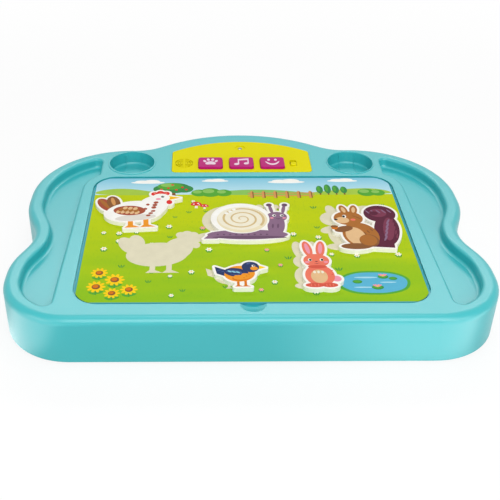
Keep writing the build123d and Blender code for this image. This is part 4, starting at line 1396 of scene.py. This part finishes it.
def finishes(pieces: list[LoosePiece]) -> dict[str, Finish]:
    """Chooses a finish for every CAD node that shows.

    Args:
        pieces: The loose pieces.

    Returns:
        The finishes, by node.
    """
    # Moulded ABS: satin, softly glossy, with a faint spark-eroded grain, drawn as coarse as it needs to show.
    shell = Finish("abs_moulded_teal", "#36B5BA", "#2FB0B6", drift_mm=90.0, roughness=(0.3, 0.38),
                   sockets=(("IOR", 1.53), ("Specular IOR Level", 0.68)))
    # The same ABS with a deep grain below, where it hides scratches: matter and a little paler.
    base = Finish("abs_moulded_teal_textured", "#49B3BA", "#41A9B1", roughness=(0.45, 0.58), grain_mm=1.0,
                  grain_height_mm=0.05)
    # The panel's and the buttons' ABS: strong colours, with less shine than the shell.
    panel = Finish("abs_moulded_yellow", "#E4DC02", "#DCD200", drift_mm=50.0, roughness=(0.45, 0.55),
                   sockets=(("IOR", 1.53), ("Specular IOR Level", 0.05)))
    button = Finish("abs_moulded_magenta", "#BA1275", "#AE0E6C", drift_mm=14.0, roughness=(0.34, 0.42),
                    sockets=(("IOR", 1.53), ("Specular IOR Level", 0.1)))
    # Rubber: matt and faintly dusty.
    rubber = Finish("rubber_moulded_dark", "#3B4044", "#45494C", drift_mm=5.0, roughness=(0.7, 0.85),
                    sockets=(("IOR", 1.52),))
    # Plated steel: bright and finely uneven, grey for zinc and warmer for nickel.
    steel = Finish("steel_zinc_plated", "#C4C6C8", "#B2B5B9", drift_mm=2.5, roughness=(0.22, 0.38),
                   grain_mm=0.5, sockets=(("Metallic", 1.0),))
    nickel = Finish("steel_nickel_plated", "#D2CEC4", "#C3BEB2", drift_mm=3.0, roughness=(0.18, 0.3),
                    grain_mm=0.5, sockets=(("Metallic", 1.0),))
    # Solder mask over fibreglass: glossy dark green, a little uneven over the weave.
    board = Finish("fibreglass_solder_mask", "#24663A", "#1C5530", drift_mm=3.0, roughness=(0.25, 0.4),
                   grain_mm=0.8)
    # Moulded epoxy: near black and matt, with a fine filler grain.
    chip = Finish("epoxy_moulded_black", "#1E1E20", "#28282A", drift_mm=2.0, roughness=(0.5, 0.65),
                  grain_mm=0.4)
    # Acrylic: clear, a little milky and very smooth.
    lens = Finish("acrylic_clear", "#F2F4DC", "#E9EDC8", drift_mm=3.0, roughness=(0.05, 0.1),
                  sockets=(("IOR", 1.49), ("Transmission Weight", 0.6)))
    # Pressed paper pulp: matt black, with a rough grain.
    cone = Finish("paper_pulp_black", "#2B2B2D", "#343436", drift_mm=2.0, roughness=(0.75, 0.9), grain_mm=0.5,
                  grain_height_mm=0.04)
    # Sintered ferrite: dark grey, like dull stone.
    ferrite = Finish("ferrite_sintered", "#3B3B3E", "#454548", drift_mm=2.0, roughness=(0.5, 0.7),
                     grain_mm=0.4)
    # Extruded PVC: even, softly shining.
    red_lead = Finish("pvc_extruded_red", "#B3261E", "#A01F18", drift_mm=8.0, roughness=(0.35, 0.45))
    black_lead = Finish("pvc_extruded_black", "#1A1A1B", "#242425", drift_mm=8.0, roughness=(0.35, 0.45))
    # Printed PET film shrunk on a cell: glossy, in two colours, with the bare can at both ends.
    cells = CellWrap("pet_film_on_cell", "#2F5FA8", "#D8DBDE", roughness=(0.2, 0.3))
    # Coated board: a white core and a satin printed face.
    core = Finish("greyboard_white_lined", "#F7F5EF", "#EDEAE1", drift_mm=4.0, roughness=(0.55, 0.7),
                  grain_mm=0.7, grain_height_mm=0.02, sockets=(("IOR", 1.45), ("Specular IOR Level", 0.3)))
    low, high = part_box("picture_card")
    (_, card_y), _ = upper_face("picture_card")
    meadow = MeadowPrint("greyboard_printed_meadow", "#A2C41A", "#5FA52C", roughness=(0.5, 0.6), grain_mm=0.9,
                         grain_height_mm=0.006, sockets=(("IOR", 1.45), ("Specular IOR Level", 0.06)),
                         front_mm=low.y / MM, horizon_mm=card_y + PictureCard.horizon, back_mm=high.y / MM,
                         half_width_mm=high.x / MM, top_mm=high.z / MM)
    made = {
        "top_shell": shell, "base_cover": base, "battery_door": base, "panel_fascia": panel,
        "switch_knob": panel, "control_board": board, "sound_chip": chip, "switch_lever": chip,
        "switch_body": steel, "lamp_chip": chip, "lamp_lens": lens, "speaker_frame": steel,
        "speaker_cone": cone, "speaker_magnet": ferrite, "speaker_leads": black_lead,
        "battery_cells": cells, "battery_contacts": nickel, "battery_lead_red": red_lead,
        "battery_lead_black": black_lead, "rubber_feet": rubber, "picture_card": meadow,
    }
    made.update({f"{name}_button": button for name in BUTTONS})
    made.update({f"{piece.name}_piece": core for piece in pieces})
    return made


@dataclass(frozen=True)
class GlossyGlowPatch:
    """A patch of floor that glows for glossy rays only: a painted reflection, which lays a pale sheen on the
    desk's front.

    Attributes:
        across: Where its glow begins and is full, from side to side.
        along: Where its glow begins and is full, from back to front.
        glow: How much brighter than the floor it is.
    """

    across: Point
    along: Point
    glow: float


@dataclass(frozen=True)
class SoftBox:
    """A lamp with a wide, even face.

    Attributes:
        name: Its name.
        place: Where it hangs.
        size: Width and height of its face.
        power: Its power in watts.
        aim: The point that it faces.
    """

    name: str
    place: Place
    size: Point
    power: float
    aim: Place = (0.0, 0.0, 0.04)

    def hang(self) -> None:
        """Hangs the lamp."""
        data = bpy.data.lights.new(self.name, "AREA")
        data.shape = "RECTANGLE"
        data.size, data.size_y = self.size
        data.energy = self.power
        lamp = shown(self.name, data)
        lamp.location = self.place
        lamp.rotation_euler = (Vector(self.aim) - Vector(self.place)).to_track_quat("-Z", "Y").to_euler()


@dataclass
class Studio:
    """Floor, light and camera.

    Attributes:
        sensor_mm: Width of the camera's sensor.
        lens_mm: The camera's lens on that sensor.
        camera_place: Where the camera stands.
        camera_reach: How far it sees.
        pitch_degrees: How far it looks down.
        yaw_degrees: How far it is turned.
        shift: How far the frame is moved sideways, as a share of its width.
        surround: How strongly the white surround lights the desk.
        boxes: The soft boxes in front, at the two front corners, behind and above.
        floor_half: Half the floor's width.
        floor_drop_mm: How far the floor lies under the feet.
        paper_share: How much of the floor's white is its own, near the desk.
        paper_reach: The distances from the desk between which that share rises to one.
        paper_bounce: The grey that the floor has for the light that it throws back on the desk.
        sheen_glows: Two patches of floor that glow for glossy rays only, a painted reflection that puts a
            pale sheen on the desk's left front corner and on its right front.
    """

    sensor_mm: float = 36.0
    lens_mm: float = 61.4
    camera_place: Place = (-0.0422, -0.6985, 0.4731)
    camera_reach: float = 50.0
    pitch_degrees: float = 34.02
    yaw_degrees: float = -0.354
    shift: float = 0.0885
    surround: float = 0.18
    boxes: tuple[SoftBox, ...] = (
        SoftBox("front_box", (0.15, -1.38, 1.22), (1.6, 1.0), 21.0),
        SoftBox("right_box", (0.5, -0.55, 0.22), (0.4, 0.25), 0.9, (0.22, -0.16, 0.02)),
        SoftBox("left_box", (-0.62, -0.5, 0.25), (0.4, 0.25), 1.1, (-0.2, -0.12, 0.02)),
        SoftBox("back_box", (0.1, 1.3, 1.24), (2.2, 0.35), 12.0),
        SoftBox("key_box", (0.1, 0.1, 1.5), (0.7, 0.7), 4.5),
    )
    floor_half: float = 8.0
    floor_drop_mm: float = 0.1
    paper_share: float = 0.85
    paper_reach: Point = (0.42, 0.95)
    paper_bounce: str = "#BCBCBC"
    # Painted reflection: floor patches that glow only for glossy rays, to put a pale sheen on the desk's
    # front.
    sheen_glows: tuple[GlossyGlowPatch, GlossyGlowPatch] = (
        GlossyGlowPatch((-0.174, -0.204), (-0.1, -0.14), 2.2),
        GlossyGlowPatch((0.0, 0.14), (-0.15, -0.18), 3.3),
    )

    def camera(self) -> None:
        """Sets the camera at the photograph's viewing angle."""
        data = bpy.data.cameras.new("camera")
        data.sensor_width = self.sensor_mm
        data.lens = self.lens_mm
        data.shift_x = self.shift
        data.clip_end = self.camera_reach
        camera = shown("camera", data)
        camera.location = self.camera_place
        camera.rotation_euler = (math.radians(90 - self.pitch_degrees), 0, math.radians(self.yaw_degrees))
        bpy.context.scene.camera = camera

    def seen(self, tree: NodeTree) -> Node:
        """Tells the rays that show a surface from those that only light others.

        Args:
            tree: The floor's or the surround's node tree.

        Returns:
            One for a camera, glossy or transmission ray, and zero for the rest.
        """
        rays = add_node(tree, "ShaderNodeLightPath").outputs
        straight = add_node(tree, "ShaderNodeMath", {0: rays["Is Camera Ray"], 1: rays["Is Glossy Ray"]},
                            operation="MAXIMUM")
        return add_node(tree, "ShaderNodeMath", {0: straight, 1: rays["Is Transmission Ray"]},
                        operation="MAXIMUM")

    def glow(self, tree: NodeTree, place: NodeSocket) -> Node:
        """Gives the strength of the paper's own white, with patches left and right that glow for glossy rays
        only: a painted reflection on the desk's front.

        Args:
            tree: The floor's node tree.
            place: The point on the floor.

        Returns:
            The strength.
        """
        axes = add_node(tree, "ShaderNodeSeparateXYZ", {0: place}).outputs
        lights = []
        # Each patch is painted reflection: brighter floor that only glossy rays see.
        for card in self.sheen_glows:
            across, along = (
                add_node(tree, "ShaderNodeMapRange", {
                    "Value": axis, "From Min": start, "From Max": full, "To Max": most,
                }, interpolation_type="SMOOTHSTEP")
                for axis, (start, full), most in ((axes[0], card.across, card.glow),
                                                  (axes[1], card.along, 1.0)))
            lights.append(add_node(tree, "ShaderNodeMath", {0: across, 1: along}, operation="MULTIPLY"))
        both = add_node(tree, "ShaderNodeMath", dict(enumerate(lights)), operation="ADD")
        mirrored = add_node(tree, "ShaderNodeLightPath").outputs["Is Glossy Ray"]
        return add_node(tree, "ShaderNodeMath", {0: both, 1: mirrored, 2: 1.0}, operation="MULTIPLY_ADD")

    def paper(self) -> Material:
        """Makes the floor's paper.

        Returns:
            A material that is partly lit from within where it is seen, and clear from below.
        """
        # Sweep paper: matt, even white.
        material = Finish("paper_sweep_white", "#FBFBFB", "#F8F8F8", drift_mm=400.0, roughness=(0.8, 0.9),
                          sockets=(("Specular IOR Level", 0.0),)).build()
        tree = material.node_tree
        shader, output = (next(node for node in tree.nodes if node.type == kind)
                          for kind in ("BSDF_PRINCIPLED", "OUTPUT_MATERIAL"))
        white = shader.inputs["Base Color"]
        seen_white = add_node(tree, "ShaderNodeMix", {
            0: self.seen(tree), 6: linear(self.paper_bounce), 7: white.links[0].from_socket,
        }, data_type="RGBA")
        tree.links.new(seen_white.outputs[2], white)
        place = add_node(tree, "ShaderNodeTexCoord").outputs["Object"]
        own_light = add_node(tree, "ShaderNodeEmission", {
            "Strength": self.glow(tree, place), "Color": (1, 1, 1, 1)})
        reach = add_node(tree, "ShaderNodeVectorMath", {0: place}, operation="LENGTH")
        own = add_node(tree, "ShaderNodeMapRange", {
            "Value": reach, "From Min": self.paper_reach[0], "From Max": self.paper_reach[1],
            "To Min": self.paper_share, "To Max": 1.0}, interpolation_type="SMOOTHSTEP")
        share = add_node(tree, "ShaderNodeMath", {0: self.seen(tree), 1: own}, operation="MULTIPLY")
        both = add_node(tree, "ShaderNodeMixShader", {0: share, 1: shader, 2: own_light})
        below = add_node(tree, "ShaderNodeNewGeometry").outputs["Backfacing"]
        clear = add_node(tree, "ShaderNodeBsdfTransparent")
        sided = add_node(tree, "ShaderNodeMixShader", {0: below, 1: both, 2: clear})
        tree.links.new(sided.outputs[0], output.inputs["Surface"])
        # The paper's white is only there to be seen, so it is left out of the list of lamps.
        material.cycles.emission_sampling = "NONE"
        return material

    def floor(self) -> None:
        """Lays a pale floor under the desk."""
        sheet = bmesh.new()
        bmesh.ops.create_grid(sheet, x_segments=1, y_segments=1, size=self.floor_half,
                              matrix=Matrix.Translation((0, 0, -self.floor_drop_mm * MM)))
        floor = shown("floor", meshed("floor", sheet))
        floor.data.materials.append(self.paper())

    def light(self) -> None:
        """Sets an even white surround and hangs the soft boxes."""
        world = bpy.data.worlds.new("surround")
        world.use_nodes = True
        tree = world.node_tree
        tree.nodes.clear()
        strength = add_node(tree, "ShaderNodeMapRange", {
            "Value": self.seen(tree), "To Min": self.surround, "To Max": 1.0})
        back = add_node(tree, "ShaderNodeBackground", {"Strength": strength, "Color": (1, 1, 1, 1)})
        add_node(tree, "ShaderNodeOutputWorld", {"Surface": back})
        bpy.context.scene.world = world
        for box in self.boxes:
            box.hang()

    def build(self) -> None:
        """Sets up the whole studio."""
        self.camera()
        self.floor()
        self.light()
        bpy.context.scene.view_settings.view_transform = "Standard"


def dress_nodes(pieces: list[LoosePiece]) -> None:
    """Gives every CAD node its finish.

    Args:
        pieces: The loose pieces.
    """
    built: dict[Finish, Material] = {}
    for node, finish in finishes(pieces).items():
        if finish not in built:
            built[finish] = finish.build()
        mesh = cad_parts[node].data
        mesh.materials.clear()
        mesh.materials.append(built[finish])
        LOG.info("%s: %s", node, finish.name)


def main() -> None:
    """Builds the studio and dresses the desk."""
    logging.basicConfig(level=logging.INFO, format="%(name)s %(message)s")
    Studio().build()
    pieces = [hen(), snail(), squirrel(), bird(), rabbit()]
    dress_nodes(pieces)
    inks = Inks()
    PictureCard().build(pieces, inks)
    for piece in pieces:
        piece.print_on(inks)
    SoundPanel().build(inks)
    # Silicone: matt and milky, faintly dusty.
    silicone = Finish("silicone_moulded", "#D9D7CC", "#CFCCC0", drift_mm=6.0, roughness=(0.55, 0.7),
                      sockets=(("IOR", 1.41),)).build()
    for name in BUTTONS:
        SiliconeDome(name).build(silicone)
    # Plated screw steel: bright and finely uneven.
    steel = Finish("steel_screw_plated", "#C4C6C8", "#B2B5B9", drift_mm=2.5, roughness=(0.22, 0.38),
                   grain_mm=0.5, sockets=(("Metallic", 1.0),)).build()
    for node, body in (("case_screws", "desk"), ("board_screws", "desk"), ("door_screw", "battery_door")):
        Screws(node, body).build(steel)


if __name__ == "__main__":
    main()
